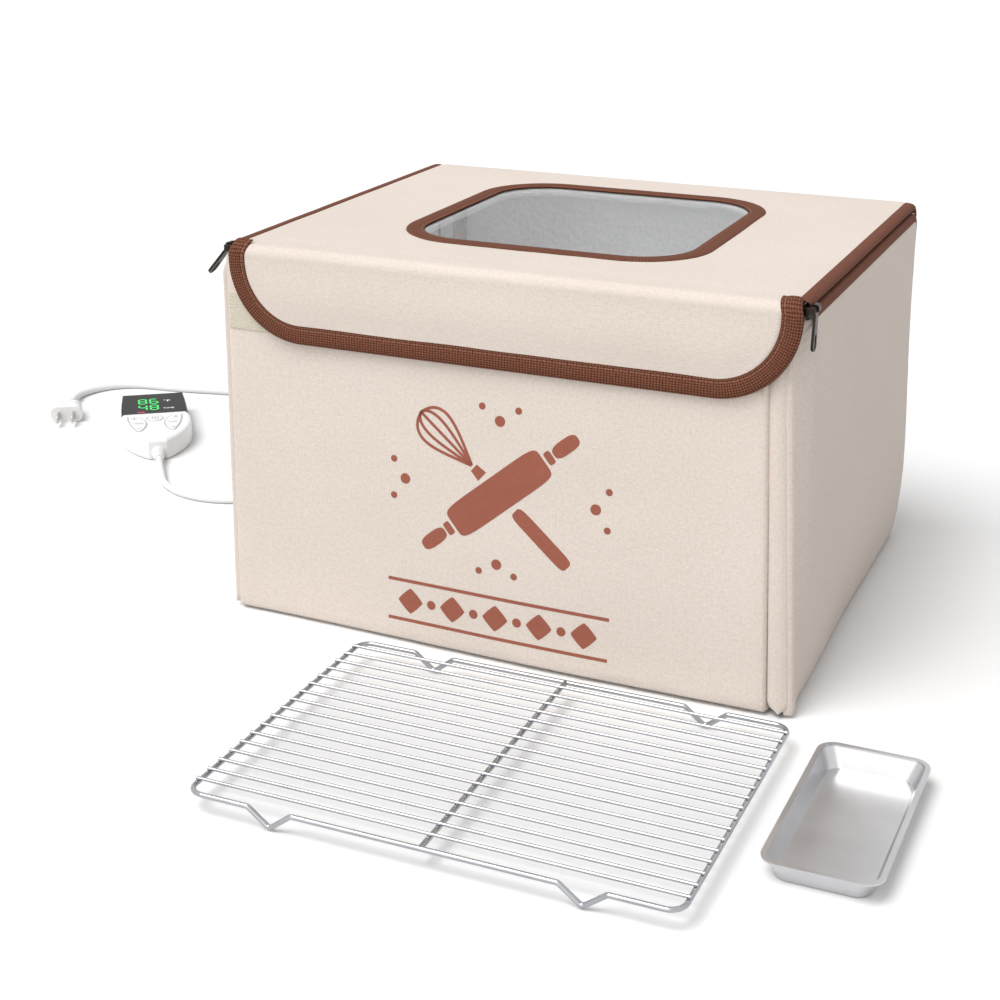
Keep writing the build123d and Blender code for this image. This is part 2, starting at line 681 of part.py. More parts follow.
with BuildPart() as control_top:
    add(control_case(CONTROL_SPLIT, CONTROL_HEIGHT, 0))
    rim_edges = control_top.faces().sort_by(Axis.Z)[-1].edges()
    fillet(rim_edges, CONTROL_ROUND)
    add(control_case(CONTROL_SPLIT, lens_seat - CONTROL_WALL, CONTROL_WALL), mode=Mode.SUBTRACT)
    lens_bed = (-CONTROL_WIDTH, CONTROL_WIDTH, display_y, 2 * CONTROL_LENGTH)
    slab(*lens_bed, lens_seat, CONTROL_HEIGHT, mode=Mode.SUBTRACT)
    # a frame under the lens, open over the digits
    window = (-module_half - 0.4, module_half + 0.4, display_y + 9, CONTROL_LENGTH - 9)
    slab(*window, CONTROL_SPLIT, lens_seat, mode=Mode.SUBTRACT)
    with Locations((0, power_y, CONTROL_HEIGHT)):
        Cylinder(POWER_RADIUS + BUTTON_GAP, 4 * CONTROL_WALL, mode=Mode.SUBTRACT)
    for side in (-1, 1):
        opening = upright(rocker_plan(side, BUTTON_GAP), CONTROL_SPLIT, CONTROL_HEIGHT + 1)
        add(opening, mode=Mode.SUBTRACT)
    with Locations(*[(x, y, CONTROL_SPLIT + HINGE_GAP) for x, y in screw_spots]):
        boss = lens_seat - CONTROL_WALL - CONTROL_SPLIT
        Cylinder(boss_radius, boss, align=(Align.CENTER, Align.CENTER, Align.MIN))
    with Locations(*[(x, y, CONTROL_SPLIT - 1) for x, y in screw_spots]):
        bore = SCREW_RADIUS + 0.1
        Cylinder(bore, boss, align=(Align.CENTER, Align.CENTER, Align.MIN), mode=Mode.SUBTRACT)
control_top.part = control_top.part.moved(place)
save(control_top, "control_top")

with BuildPart() as display_lens:
    add(control_case(lens_seat, CONTROL_HEIGHT, 0))
    rim_edges = display_lens.faces().sort_by(Axis.Z)[-1].edges()
    fillet(rim_edges, LENS * 0.8)
    keypad = (-CONTROL_WIDTH, CONTROL_WIDTH, -CONTROL_LENGTH, display_y + 0.2)
    slab(*keypad, 0, 2 * CONTROL_HEIGHT, mode=Mode.SUBTRACT)
display_lens.part = display_lens.part.moved(place)
save(display_lens, "display_lens")

board_z = CONTROL_WALL + 5.4
with BuildPart() as circuit_board:
    add(control_case(board_z, board_z + 1.6, CONTROL_WALL + 1.2))
    with Locations(*[(x, y, board_z) for x, y in screw_spots]):
        Cylinder(boss_radius + 0.4, 4, mode=Mode.SUBTRACT)
circuit_board.part = circuit_board.part.moved(place)
save(circuit_board, "circuit_board")

with BuildPart() as digit_module:
    module = (-module_half, module_half, display_y + 10, CONTROL_LENGTH - 10)
    slab(*module, board_z + 1.6, lens_seat - 0.3)
digit_module.part = digit_module.part.moved(place)
save(digit_module, "digit_module")

key_under = lens_seat - CONTROL_WALL - 0.2
with BuildPart() as power_button:
    with Locations((0, power_y, key_under)):
        tall = CONTROL_HEIGHT + POWER_PROUD - key_under
        Cylinder(POWER_RADIUS, tall, align=(Align.CENTER, Align.CENTER, Align.MIN))
    chamfer(power_button.faces().sort_by(Axis.Z)[-1].edges(), 0.4)
power_button.part = power_button.part.moved(place)
save(power_button, "power_button")

for name, side in (("temp", -1), ("time", 1)):
    with BuildPart() as rocker:
        add(upright(rocker_plan(side, 0), key_under, CONTROL_HEIGHT + ROCKER_PROUD))
        chamfer(rocker.faces().sort_by(Axis.Z)[-1].edges(), 0.4)
    rocker.part = rocker.part.moved(place)
    save(rocker, f"{name}_rocker")

with BuildPart() as control_screws:
    with Locations(*[(x, y, 1.0) for x, y in screw_spots]):
        Cylinder(SCREW_HEAD_RADIUS, 0.8, align=(Align.CENTER, Align.CENTER, Align.MIN))
    with Locations(*[(x, y, 1.8) for x, y in screw_spots]):
        Cylinder(SCREW_RADIUS, 9.0, align=(Align.CENTER, Align.CENTER, Align.MIN))
control_screws.part = control_screws.part.moved(place)
save(control_screws, "control_screws")

# ribbed sleeve where the lead leaves the case
relief_z = BOOT_HEIGHT / 2 + 2.0
RELIEF_RIBS = 6
with BuildPart() as control_relief:
    with BuildSketch(Plane.YZ):
        tip = LEAD_DIAMETER / 2 + 1.0
        root = CONTROL_TAIL_WIDTH / 2 - 1.6
        pitch = (16.0 - 1.0) / RELIEF_RIBS
        outline = [(0, 0), (0, root)]
        for i in range(RELIEF_RIBS):
            y = -1.0 - i * pitch
            r = root + (tip - root) * (i + 1) / RELIEF_RIBS
            outline += [(y, r), (y, r - 0.7), (y - pitch * 0.4, r - 0.7), (y - pitch * 0.4, r)]
        outline += [(-16.0, tip), (-16.0, 0)]
        Polygon(*outline, align=None)
    revolve(axis=Axis.Y)
control_relief.part = control_relief.part.moved(Location((0, 0, relief_z))).moved(place)
save(control_relief, "control_relief")


def at_control(x, y):
    """A point of the hand control's own plan, on the counter."""
    return (
        CONTROL_AT[0] + x * cos(turn) - y * sin(turn),
        CONTROL_AT[1] + x * sin(turn) + y * cos(turn),
    )


# ---------------------------------------------------------------- boot in the left kerb
boot_x = -HALF_W - BOTTOM_RIM
lead_y = BOOT_AT - BOOT_PITCH / 2
mains_y = BOOT_AT + BOOT_PITCH / 2
with BuildPart() as cable_boot:
    inset = 0.4
    slab(
        boot_x - 1.6,
        boot_x - 0.1,
        BOOT_AT - BOOT_LENGTH / 2 - 2,
        BOOT_AT + BOOT_LENGTH / 2 + 2,
        boot_z - BOOT_HEIGHT / 2 + inset,
        boot_z + BOOT_HEIGHT / 2 - inset,
    )
    slab(
        boot_x - 0.1,
        -HALF_W,
        BOOT_AT - BOOT_LENGTH / 2 + inset,
        BOOT_AT + BOOT_LENGTH / 2 - inset,
        BOTTOM_RIM_HEIGHT + 0.2,
        boot_z + BOOT_HEIGHT / 2 - inset,
    )
    slab(
        -HALF_W,
        -SIDE_INNER,
        BOOT_AT - BOOT_LENGTH / 2 + inset,
        BOOT_AT + BOOT_LENGTH / 2 - inset,
        floor_top + 1.2,
        boot_z + BOOT_HEIGHT / 2 - inset,
    )
    for y, diameter in ((lead_y, LEAD_DIAMETER), (mains_y, MAINS_DIAMETER)):
        with BuildSketch(Plane(origin=(boot_x - 1.6, y, boot_z), z_dir=(-1, 0, 0))):
            Circle(BOOT_HEIGHT / 2 - inset)
        with BuildSketch(Plane(origin=(boot_x - RELIEF_LENGTH, y, boot_z), z_dir=(-1, 0, 0))):
            Circle(diameter / 2 + 0.5)
        loft()
save(cable_boot, "cable_boot")

# ---------------------------------------------------------------- cords
def corner_radii(points, name):
    """The largest even arc at each corner of a route; prints the smallest of them."""
    radii = []
    for before, at, after in zip(points, points[1:], points[2:]):
        a = Vector(*at) - Vector(*before)
        b = Vector(*after) - Vector(*at)
        bend = radians(a.get_angle(b))
        radii.append(0.45 * min(a.length, b.length) / tan(bend / 2))
    print(f"{name}: smallest radius {min(radii):.1f}, of {len(radii)} corners")
    return radii


def tube(points, diameter, name):
    """A cord along a route of straight runs joined by arcs."""
    with BuildPart() as cord:
        with BuildLine():
            path = FilletPolyline(*points, radius=corner_radii(points, name))
        start = Vector(*points[0])
        heading = Vector(*points[1]) - start
        with BuildSketch(Plane(origin=start, z_dir=heading)):
            section = RegularPolygon(diameter / 2, CORD_SIDES)
        sweep(path=path)
    expected = path.length * section.area
    print(f"{name}: length {path.length:.0f}, volume over expected {cord.part.volume / expected:.4f}")
    save(cord, name)


lead_floor = LEAD_DIAMETER / 2
boot_tip = boot_x - RELIEF_LENGTH
lead_route = [
    (*at_control(0, -16), relief_z),
    (*at_control(0, -32), 5.4),
    (*at_control(1, -50), 3.4),
    (-365, 16, lead_floor),
    (-340, 2, lead_floor),
    (-310, 1, lead_floor),
    (-283, 14, lead_floor),
    (-264, 37, lead_floor),
    (-253, 63, lead_floor),
    (-243, 85, 3.4),
    (-227, 100, 5.6),
    (boot_tip, lead_y, boot_z),
]
tube(lead_route, LEAD_DIAMETER, "control_lead")

mains_floor = MAINS_DIAMETER / 2
coil_front = COIL_AT[1] - COIL_OUTER + MAINS_DIAMETER
coil_rear = COIL_AT[1] + COIL_OUTER - MAINS_DIAMETER
coil_left = COIL_AT[0] - 22
mains_route = [
    (boot_tip, mains_y, boot_z),
    (boot_tip - 17, mains_y + 2, 5.4),
    (boot_tip - 35, mains_y + 13, 3.4),
    (boot_tip - 44, mains_y + 36, mains_floor),
    (boot_tip - 38, mains_y + 63, mains_floor),
    (boot_tip - 16, mains_y + 81, mains_floor),
    (boot_tip + 18, mains_y + 84, mains_floor),
    (boot_tip + 56, mains_y + 79, mains_floor),
    (boot_tip + 92, coil_front, mains_floor),
    (coil_left, coil_front, mains_floor),
]
tube(mains_route, MAINS_DIAMETER, "mains_lead")

plug_turn = radians(PLUG_TURN)
plug_half_height = 7.0
plug_back = (-sin(plug_turn), cos(plug_turn))  # from the plug along its lead
tail_route = [
    (coil_left, coil_rear, mains_floor),
    (-136, coil_rear + 1, mains_floor),
    (-186, coil_rear + 5, mains_floor),
    (-242, coil_rear + 4, mains_floor),
    (-300, coil_rear - 5, mains_floor),
    (-356, coil_rear - 19, mains_floor),
    (-410, coil_rear - 27, mains_floor),
    (-455, coil_rear - 36, mains_floor),
    (-497, coil_rear - 46, mains_floor),
    (-533.6, coil_rear - 49.5, mains_floor),
    (-554.5, coil_rear - 61.5, mains_floor),
    (-566.5, coil_rear - 82.4, mains_floor),
    (PLUG_AT[0] + 27 * plug_back[0], PLUG_AT[1] + 27 * plug_back[1], 4.2),
    (PLUG_AT[0], PLUG_AT[1], plug_half_height),
]
tube(tail_route, MAINS_DIAMETER, "plug_lead")

with BuildPart() as mains_coil:
    with BuildSketch():
        with Locations(COIL_AT):
            Circle(COIL_OUTER)
            Circle(COIL_INNER, mode=Mode.SUBTRACT)
    extrude(amount=COIL_HEIGHT)
    chamfer(mains_coil.edges().filter_by(GeomType.CIRCLE), MAINS_DIAMETER / 2)
save(mains_coil, "mains_coil")

# ---------------------------------------------------------------- plug
plug_axis = Plane(
    origin=(*PLUG_AT, plug_half_height),
    x_dir=(cos(plug_turn), sin(plug_turn), 0),
    z_dir=(sin(plug_turn), -cos(plug_turn), 0),
)
neck = 12.0
collar = 3.0
shoulder = 16.0
flange = 5.0
with BuildPart() as plug_body:
    for i in range(4):
        with BuildSketch(plug_axis.offset(i * neck / 4)):
            Circle(4.4 + 0.3 * i)
        extrude(amount=neck / 4 - 1.2)
    with BuildSketch(plug_axis):
        Circle(4.0)
    extrude(amount=neck)
    with BuildSketch(plug_axis.offset(neck)):
        RectangleRounded(21, 11.5, 5)
    extrude(amount=collar)
    with BuildSketch(plug_axis.offset(neck + collar)):
        RectangleRounded(17, 11, 5)
    with BuildSketch(plug_axis.offset(neck + collar + shoulder * 0.45)):
        RectangleRounded(23, 12.6, 5)
    with BuildSketch(plug_axis.offset(neck + collar + shoulder)):
        RectangleRounded(24, 13, 5)
    loft(ruled=True)
    with BuildSketch(plug_axis.offset(neck + collar + shoulder)):
        RectangleRounded(27, 2 * plug_half_height, 6)
    extrude(amount=flange)
    plug_face = neck + collar + shoulder + flange
    with BuildSketch(plug_axis.offset(plug_face - 9)):
        with Locations((-BLADE_SPACING / 2, 0), (BLADE_SPACING / 2, 0)):
            Rectangle(1.5, 6.35)
    extrude(amount=9, mode=Mode.SUBTRACT)
save(plug_body, "plug_body")

with BuildPart() as plug_blades:
    with BuildSketch(plug_axis.offset(plug_face - 9)):
        with Locations((-BLADE_SPACING / 2, 0), (BLADE_SPACING / 2, 0)):
            Rectangle(1.5, 6.35)
    extrude(amount=9 + BLADE_LENGTH)
    blade_tips = plug_blades.faces().sort_by(Axis(plug_axis.origin, plug_axis.z_dir))[-2:]
    chamfer(blade_tips.edges(), 0.4)
save(plug_blades, "plug_blades")

# ---------------------------------------------------------------- wire rack
rack_x, rack_y = RACK_AT
rim_level = RACK_HEIGHT - RACK_WIRE - RACK_RIM_WIRE / 2 + 0.2
rim_w = (RACK_WIDTH - RACK_RIM_WIRE) / 2
rim_d = (RACK_DEPTH - RACK_RIM_WIRE) / 2
foot_low = RACK_RIM_WIRE / 2


def rack_feet(y):
    """The two V feet of one long side of the rack's rim, from left to right."""
    points = []
    for foot_x in (rack_x - RACK_FOOT_AT, rack_x + RACK_FOOT_AT):
        points += [
            (foot_x - RACK_FOOT_HALF, y, rim_level),
            (foot_x, y, foot_low),
            (foot_x + RACK_FOOT_HALF, y, rim_level),
        ]
    return points


rim_front = rack_y - rim_d
rim_route = [
    (rack_x - rim_w, rack_y, rim_level),
    (rack_x - rim_w, rim_front, rim_level),
    *rack_feet(rim_front),
    (rack_x + rim_w, rim_front, rim_level),
    (rack_x + rim_w, rack_y, rim_level),
]
with BuildPart() as rack_rim:
    with BuildLine():
        rim_path = FilletPolyline(*rim_route, radius=[RACK_CORNER, *[3.0] * 6, RACK_CORNER])
    with BuildSketch(Plane(origin=rim_route[0], z_dir=(0, -1, 0))):
        Circle(RACK_RIM_WIRE / 2)
    sweep(path=rim_path)
    mirror(about=Plane.XZ.offset(-rack_y))
    with Locations((rack_x, rack_y, rim_level)):
        Cylinder(RACK_BAR_WIRE / 2, 2 * rim_d, rotation=(90, 0, 0))
save(rack_rim, "rack_rim")

wire_pitch = 2 * rim_d / (RACK_WIRES + 1)
with BuildPart() as rack_wires:
    with BuildSketch(Plane.YZ.offset(rack_x - rim_w - 0.8)):
        for i in range(RACK_WIRES):
            with Locations((rack_y - rim_d + (i + 1) * wire_pitch, RACK_HEIGHT - RACK_WIRE / 2)):
                Circle(RACK_WIRE / 2)
    extrude(amount=2 * (rim_w + 0.8))
save(rack_wires, "rack_wires")

# ---------------------------------------------------------------- tray


def tray_section(height, inset):
    """The tray's outline at a height above its underside, drawn in by inset."""
    grow = TRAY_FLARE * (1 - height / TRAY_HEIGHT)
    return (TRAY_WIDTH - 2 * (grow + inset), TRAY_DEPTH - 2 * (grow + inset), TRAY_CORNER - inset)


with BuildPart() as tray:
    for z in (0.0, TRAY_HEIGHT):
        with BuildSketch(Plane.XY.offset(z)):
            with Locations(TRAY_AT):
                RectangleRounded(*tray_section(z, 0))
    loft()
    fillet(tray.faces().sort_by(Axis.Z)[0].edges(), 2.0)
    for z in (TRAY_WALL, TRAY_HEIGHT):
        with BuildSketch(Plane.XY.offset(z)):
            with Locations(TRAY_AT):
                RectangleRounded(*tray_section(z, TRAY_WALL))
    loft(mode=Mode.SUBTRACT)
    with BuildSketch(Plane.XY.offset(TRAY_HEIGHT - TRAY_WALL)):
        with Locations(TRAY_AT):
            RectangleRounded(TRAY_WIDTH + 3, TRAY_DEPTH + 3, TRAY_CORNER + 1.5)
            RectangleRounded(*tray_section(TRAY_HEIGHT - TRAY_WALL, TRAY_WALL), mode=Mode.SUBTRACT)
    extrude(amount=TRAY_WALL)
save(tray, "tray")
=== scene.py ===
"""A folding dough proofer: fabric box with a window lid, hand control, rack and tray."""

from math import cos, pi, radians, sin

import bmesh
import bpy
import numpy as np
from mathutils import Matrix, Vector


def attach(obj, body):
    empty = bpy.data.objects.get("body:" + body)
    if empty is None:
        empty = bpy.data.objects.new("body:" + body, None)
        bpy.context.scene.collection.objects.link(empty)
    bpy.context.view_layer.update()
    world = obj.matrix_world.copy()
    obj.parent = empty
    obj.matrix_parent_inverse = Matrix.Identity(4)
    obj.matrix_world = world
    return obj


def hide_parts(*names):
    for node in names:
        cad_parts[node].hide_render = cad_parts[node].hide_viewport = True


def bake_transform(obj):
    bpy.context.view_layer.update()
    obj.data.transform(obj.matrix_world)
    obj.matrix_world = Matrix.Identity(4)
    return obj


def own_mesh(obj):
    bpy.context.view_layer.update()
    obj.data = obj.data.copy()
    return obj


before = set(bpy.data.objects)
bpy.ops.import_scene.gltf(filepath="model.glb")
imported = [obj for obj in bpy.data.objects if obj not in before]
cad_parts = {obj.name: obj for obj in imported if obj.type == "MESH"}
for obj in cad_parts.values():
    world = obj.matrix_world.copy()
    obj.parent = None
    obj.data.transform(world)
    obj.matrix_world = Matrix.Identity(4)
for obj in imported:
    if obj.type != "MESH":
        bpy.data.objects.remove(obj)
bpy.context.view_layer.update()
MM = 0.001

# ------------------------------------------------------------------ sizes, in millimetres
# the box stands on the counter at z = 0; its front looks along -y and its right side along x
HALF_W, HALF_D, HEIGHT = 185.0, 150.0, 250.0
SIDE_INNER, LONG_INNER = 179.0, 144.0  # inner faces of the side walls, and of the front and back walls
LEFT_HINGE, RIGHT_HINGE, LONG_HINGE = 12.3, 19.9, 27.5  # feet of the left, right and the two long walls
KNEE_Z, RIM_Z = 135.45, 243.4  # where the front and back walls fold, and where their boards end
FRONT_HALF, BACK_HALF = 173.7, 178.5  # half widths of the front and back walls
SIDE_FRONT, SIDE_REAR = -138.7, 139.4  # ends of the side walls' boards
LID_HALF, LID_FRONT, LID_REAR = 180.0, -152.0, 150.7
FLAP_HALF, FLAP_FOOT, FLAP_CORNER = 183.5, 190.0, 50.0
WINDOW_W, WINDOW_D, WINDOW_R = 205.0, 208.0, 48.0
WINDOW_AT = (-1.6, 1.6)
CLOTH_FOOT = 0.8
CLOTH_EDGE, CLOTH_TURN = 3.5, 6.0  # radius of a wall cloth's edges, and how deep it turns back there
CLOTH_SPACING, FOIL_SPACING = 5.0, 6.0  # between the stations of a wall's cloth and of a lining
LINING_OUT = 0.6  # the walls' linings are set this far outside the inner faces
CONTROL_TURN = radians(36.0)
CONTROL_AT = (-405.0, 68.0)

# ------------------------------------------------------------------ mesh helpers


def as_mesh(name, points, faces, uvs=None, material=None):
    """A smooth mesh object from an array of points in millimetres and an array of faces."""
    mesh = bpy.data.meshes.new(name)
    points = np.asarray(points, float).reshape(-1, 3) * MM
    faces = np.asarray(faces, np.int32)
    mesh.from_pydata(points.tolist(), [], faces.tolist())
    if uvs is not None:
        layer = mesh.uv_layers.new(name="UVMap")
        flat = np.asarray(uvs, np.float32).reshape(-1, 2)[faces.reshape(-1)]
        layer.data.foreach_set("uv", flat.reshape(-1))
    mesh.polygons.foreach_set("use_smooth", np.full(len(mesh.polygons), True))
    piece = bpy.data.objects.new(name, mesh)
    bpy.context.scene.collection.objects.link(piece)
    if material:
        mesh.materials.append(material)
    return piece


def grid_faces(rows, columns):
    """Quads of a grid of points, as indices."""
    i, j = np.meshgrid(np.arange(rows - 1), np.arange(columns - 1), indexing="ij")
    i, j = i.ravel(), j.ravel()
    k, m = i + 1, j + 1
    return np.stack([i * columns + j, k * columns + j, k * columns + m, i * columns + m], 1)


def lengths_along(points, axis):
    """How far each point of a grid lies along its line, in metres, from the line's start."""
    steps = np.linalg.norm(np.diff(points, axis=axis), axis=2)
    pad = [(0, 0), (0, 0)]
    pad[axis] = (1, 0)
    return np.cumsum(np.pad(steps, pad), axis=axis) * MM


def surface(name, points, material, close_rows=False, uvs=None):
    """A surface from a grid of points; its UV map is the distance along the grid, in metres."""
    points = np.asarray(points, float)
    if close_rows:
        points = np.concatenate([points, points[:1]], 0)
    if uvs is None:
        uvs = np.stack([lengths_along(points, 0), lengths_along(points, 1)], 2)
    piece = as_mesh(name, points, grid_faces(*points.shape[:2]), uvs, material)
    weld(piece)
    return piece


def weld(piece, distance=2e-6):
    """Joins points that lie on each other, so that seams and poles are closed."""
    shape = bmesh.new()
    shape.from_mesh(piece.data)
    bmesh.ops.remove_doubles(shape, verts=shape.verts, dist=distance)
    bmesh.ops.dissolve_degenerate(shape, dist=distance, edges=shape.edges)
    shape.to_mesh(piece.data)
    shape.free()


def facing(piece, direction):
    """Turns a sheet's faces, if they look the other way, to look along a direction."""
    mesh = piece.data
    normals = np.zeros(len(mesh.polygons) * 3)
    areas = np.zeros(len(mesh.polygons))
    mesh.polygons.foreach_get("normal", normals)
    mesh.polygons.foreach_get("area", areas)
    mean = (normals.reshape(-1, 3) * areas[:, None]).sum(0)
    if mean @ np.array(direction, float) < 0:
        mesh.flip_normals()


def joined(name, pieces):
    """Several pieces made one, under one name."""
    bpy.ops.object.select_all(action="DESELECT")
    for piece in pieces:
        piece.select_set(True)
    bpy.context.view_layer.objects.active = pieces[0]
    bpy.ops.object.join()
    pieces[0].name = name
    return pieces[0]


def ripple(a, b, size, seed):
    """Gentle unevenness of cloth: the mean of nine sine waves of mixed directions about size long."""
    rng = np.random.default_rng(seed)
    total = np.zeros(np.broadcast(a, b).shape)
    for _ in range(9):
        angle, phase = rng.uniform(0, 2 * pi, 2)
        pitch = size * rng.uniform(0.6, 1.7)
        total = total + np.sin((a * cos(angle) + b * sin(angle)) * 2 * pi / pitch + phase)
    return total / 9


def ease(x):
    """0 below 0, 1 above 1, and the smooth step 3x^2 - 2x^3 between."""
    x = np.clip(x, 0, 1)
    return x * x * (3 - 2 * x)


def quarter_drop(x):
    """How far a quarter circle of radius 1 has fallen at x: 0 up to 0, and 1 at 1."""
    return 1 - np.sqrt(np.clip(1 - np.clip(x, 0, 1) ** 2, 0, 1))


# ------------------------------------------------------------------ shader helpers


def node_of(tree, kind, **values):
    """A new shader node; a value's name is an attribute of the node or the name of its input."""
    node = tree.nodes.new(kind)
    for key, value in values.items():
        if hasattr(node, key):
            setattr(node, key, value)
        else:
            node.inputs[key.replace("_", " ")].default_value = value
    return node


def placed_node(tree, place, kind, **values):
    """A texture node that reads the given coordinates."""
    node = node_of(tree, kind, **values)
    tree.links.new(place, node.inputs["Vector"])
    return node


def maths(tree, operation, a, b=None, clamp=False):
    """A Math node's result from sockets or plain numbers."""
    node = tree.nodes.new("ShaderNodeMath")
    node.operation = operation
    node.use_clamp = clamp
    for socket, value in zip(node.inputs, (a, b)):
        if value is None:
            continue
        if isinstance(value, (int, float)):
            socket.default_value = value
        else:
            tree.links.new(value, socket)
    return node.outputs[0]


def weighted(tree, a, weight_a, b, weight_b, clamp=False):
    """The sum of two sockets, each times its weight."""
    part_a = maths(tree, "MULTIPLY", a, weight_a)
    part_b = maths(tree, "MULTIPLY", b, weight_b)
    return maths(tree, "ADD", part_a, part_b, clamp)


def thread_crowns(tree, phase):
    """The relief of threads that lie side by side: |sin(phase)|."""
    return maths(tree, "ABSOLUTE", maths(tree, "SINE", phase))


def group(name, inputs, outputs):
    """An empty node group that reads coordinates and named numbers with defaults, and puts out numbers."""
    tree = bpy.data.node_groups.new(name, "ShaderNodeTree")
    tree.interface.new_socket("Vector", in_out="INPUT", socket_type="NodeSocketVector")
    for label, value in inputs.items():
        socket = tree.interface.new_socket(label, in_out="INPUT", socket_type="NodeSocketFloat")
        socket.default_value = value
    for label in outputs:
        tree.interface.new_socket(label, in_out="OUTPUT", socket_type="NodeSocketFloat")
    return tree, tree.nodes.new("NodeGroupInput").outputs, tree.nodes.new("NodeGroupOutput").inputs


def build_weave():
    """Plain weave: warp and weft threads cross over and under each other in turn, a little uneven.

    Each set of threads has the relief |sin(pi x / thread)|, and the product of both cosines says which of
    the two lies on top. One noise bends the threads, and another thickens them here and there. The colour
    mask put out as Shade is painted shade of this relief: lighter on the crowns and the thick places,
    darker between the threads.
    """
    tree, given, out = group("weave", {"Thread": 0.0012, "Uneven": 2.4}, ["Height", "Shade"])
    bend = placed_node(tree, given["Vector"], "ShaderNodeTexNoise", Scale=260.0, Detail=3.0)
    slub = placed_node(tree, given["Vector"], "ShaderNodeTexNoise", Scale=460.0, Detail=2.0)
    split = placed_node(tree, given["Vector"], "ShaderNodeSeparateXYZ")
    wobble = maths(tree, "MULTIPLY", maths(tree, "SUBTRACT", bend.outputs["Fac"], 0.5), given["Uneven"])
    step = maths(tree, "DIVIDE", pi, given["Thread"])
    u = weighted(tree, split.outputs["X"], step, wobble, 2.0)
    v = weighted(tree, split.outputs["Y"], step, wobble, 2.0)
    over = maths(tree, "MULTIPLY", maths(tree, "COSINE", u), maths(tree, "COSINE", v))
    crowns = maths(tree, "ADD", thread_crowns(tree, u), thread_crowns(tree, v))
    threads = weighted(tree, over, 0.10, crowns, 0.42)
    height = weighted(tree, threads, 0.75, slub.outputs["Fac"], 0.85)
    # painted shade: the colour mask follows the relief, lighter on thread crowns and slubs, darker between
    # threads
    shade = maths(tree, "MULTIPLY", maths(tree, "SUBTRACT", height, 0.18), 1.05, clamp=True)
    tree.links.new(height, out["Height"])
    tree.links.new(shade, out["Shade"])
    return tree


def build_ribs():
    """Ribs across a tape, fine threads along it, and a row of stitches that pinch it along a line.

    The ribs are |sin(pi x / rib)| along the tape. A stitch is where a point lies near the stitch line and
    in the first part of each pitch, and the pinch falls off evenly on both sides of the line. The colour
    mask put out as Shade is painted shade of the ribs, lighter on their crowns and darker between them,
    with random noise tone.
    """
    fine_rib, stitch_half, stitch_part = 0.0015, 0.00042, 0.74
    tree, given, out = group(
        "tape_ribs",
        {"Rib": 0.0019, "Stitch Line": 0.0105, "Stitch Pitch": 0.0032},
        ["Height", "Stitch", "Shade"],
    )
    split = placed_node(tree, given["Vector"], "ShaderNodeSeparateXYZ")
    along, across = split.outputs["X"], split.outputs["Y"]
    noise = placed_node(tree, given["Vector"], "ShaderNodeTexNoise", Scale=700.0, Detail=2.0)
    rib = thread_crowns(tree, maths(tree, "MULTIPLY", along, maths(tree, "DIVIDE", pi, given["Rib"])))
    fine = thread_crowns(tree, maths(tree, "MULTIPLY", across, pi / fine_rib))
    cloth = weighted(tree, rib, 0.5, fine, 0.5)
    from_line = maths(tree, "ABSOLUTE", maths(tree, "SUBTRACT", across, given["Stitch Line"]))
    on_line = maths(tree, "LESS_THAN", from_line, stitch_half)
    turn = maths(tree, "FRACT", maths(tree, "DIVIDE", along, given["Stitch Pitch"]))
    stitch = maths(tree, "MULTIPLY", on_line, maths(tree, "LESS_THAN", turn, stitch_part))
    pinch = maths(tree, "SUBTRACT", 1.0, maths(tree, "MULTIPLY", from_line, 900.0), clamp=True)
    raised = maths(tree, "ADD", cloth, maths(tree, "MULTIPLY", stitch, 1.6))
    height = maths(tree, "SUBTRACT", raised, maths(tree, "MULTIPLY", pinch, 1.1))
    # painted shade: lighter on the rib crowns and darker between them, with random noise tone
    tone = weighted(tree, cloth, 1.15, noise.outputs["Fac"], 0.7)
    tree.links.new(height, out["Height"])
    tree.links.new(stitch, out["Stitch"])
    tree.links.new(maths(tree, "SUBTRACT", tone, 0.6, clamp=True), out["Shade"])
    return tree


def build_mottle():
    """Soft patches and fine grain: a slow noise for colour and a quick one for height."""
    tree, given, out = group("mottle", {"Patch": 14.0, "Grain": 1800.0}, ["Patches", "Height"])
    for label, detail, result in (("Patch", 3.0, "Patches"), ("Grain", 2.0, "Height")):
        noise = placed_node(tree, given["Vector"], "ShaderNodeTexNoise", Detail=detail)
        tree.links.new(given[label], noise.inputs["Scale"])
        tree.links.new(noise.outputs["Fac"], out[result])
    return tree


WEAVE, RIBS, MOTTLE = build_weave(), build_ribs(), build_mottle()


def new_material(name, colour, roughness=0.5, **shader):
    """A material with its Principled BSDF set; returns the material, its tree and the shader."""
    material = bpy.data.materials.new(name)
    material.use_nodes = True
    tree = material.node_tree
    bsdf = tree.nodes["Principled BSDF"]
    bsdf.inputs["Base Color"].default_value = (*colour, 1.0)
    bsdf.inputs["Roughness"].default_value = roughness
    for label, value in shader.items():
        bsdf.inputs[label.replace("_", " ")].default_value = value
    material.diffuse_color = (*colour, 1.0)
    return material, tree, bsdf


def place_of(tree, source):
    """Coordinates for a pattern: "UV" for a piece's own map, or "Object" for its place in the row frame."""
    return tree.nodes.new("ShaderNodeTexCoord").outputs[source]


def use_group(tree, kind, source, **values):
    """A placed node group with its own values."""
    node = tree.nodes.new("ShaderNodeGroup")
    node.node_tree = kind
    tree.links.new(place_of(tree, source), node.inputs["Vector"])
    for label, value in values.items():
        node.inputs[label.replace("_", " ")].default_value = value
    return node.outputs


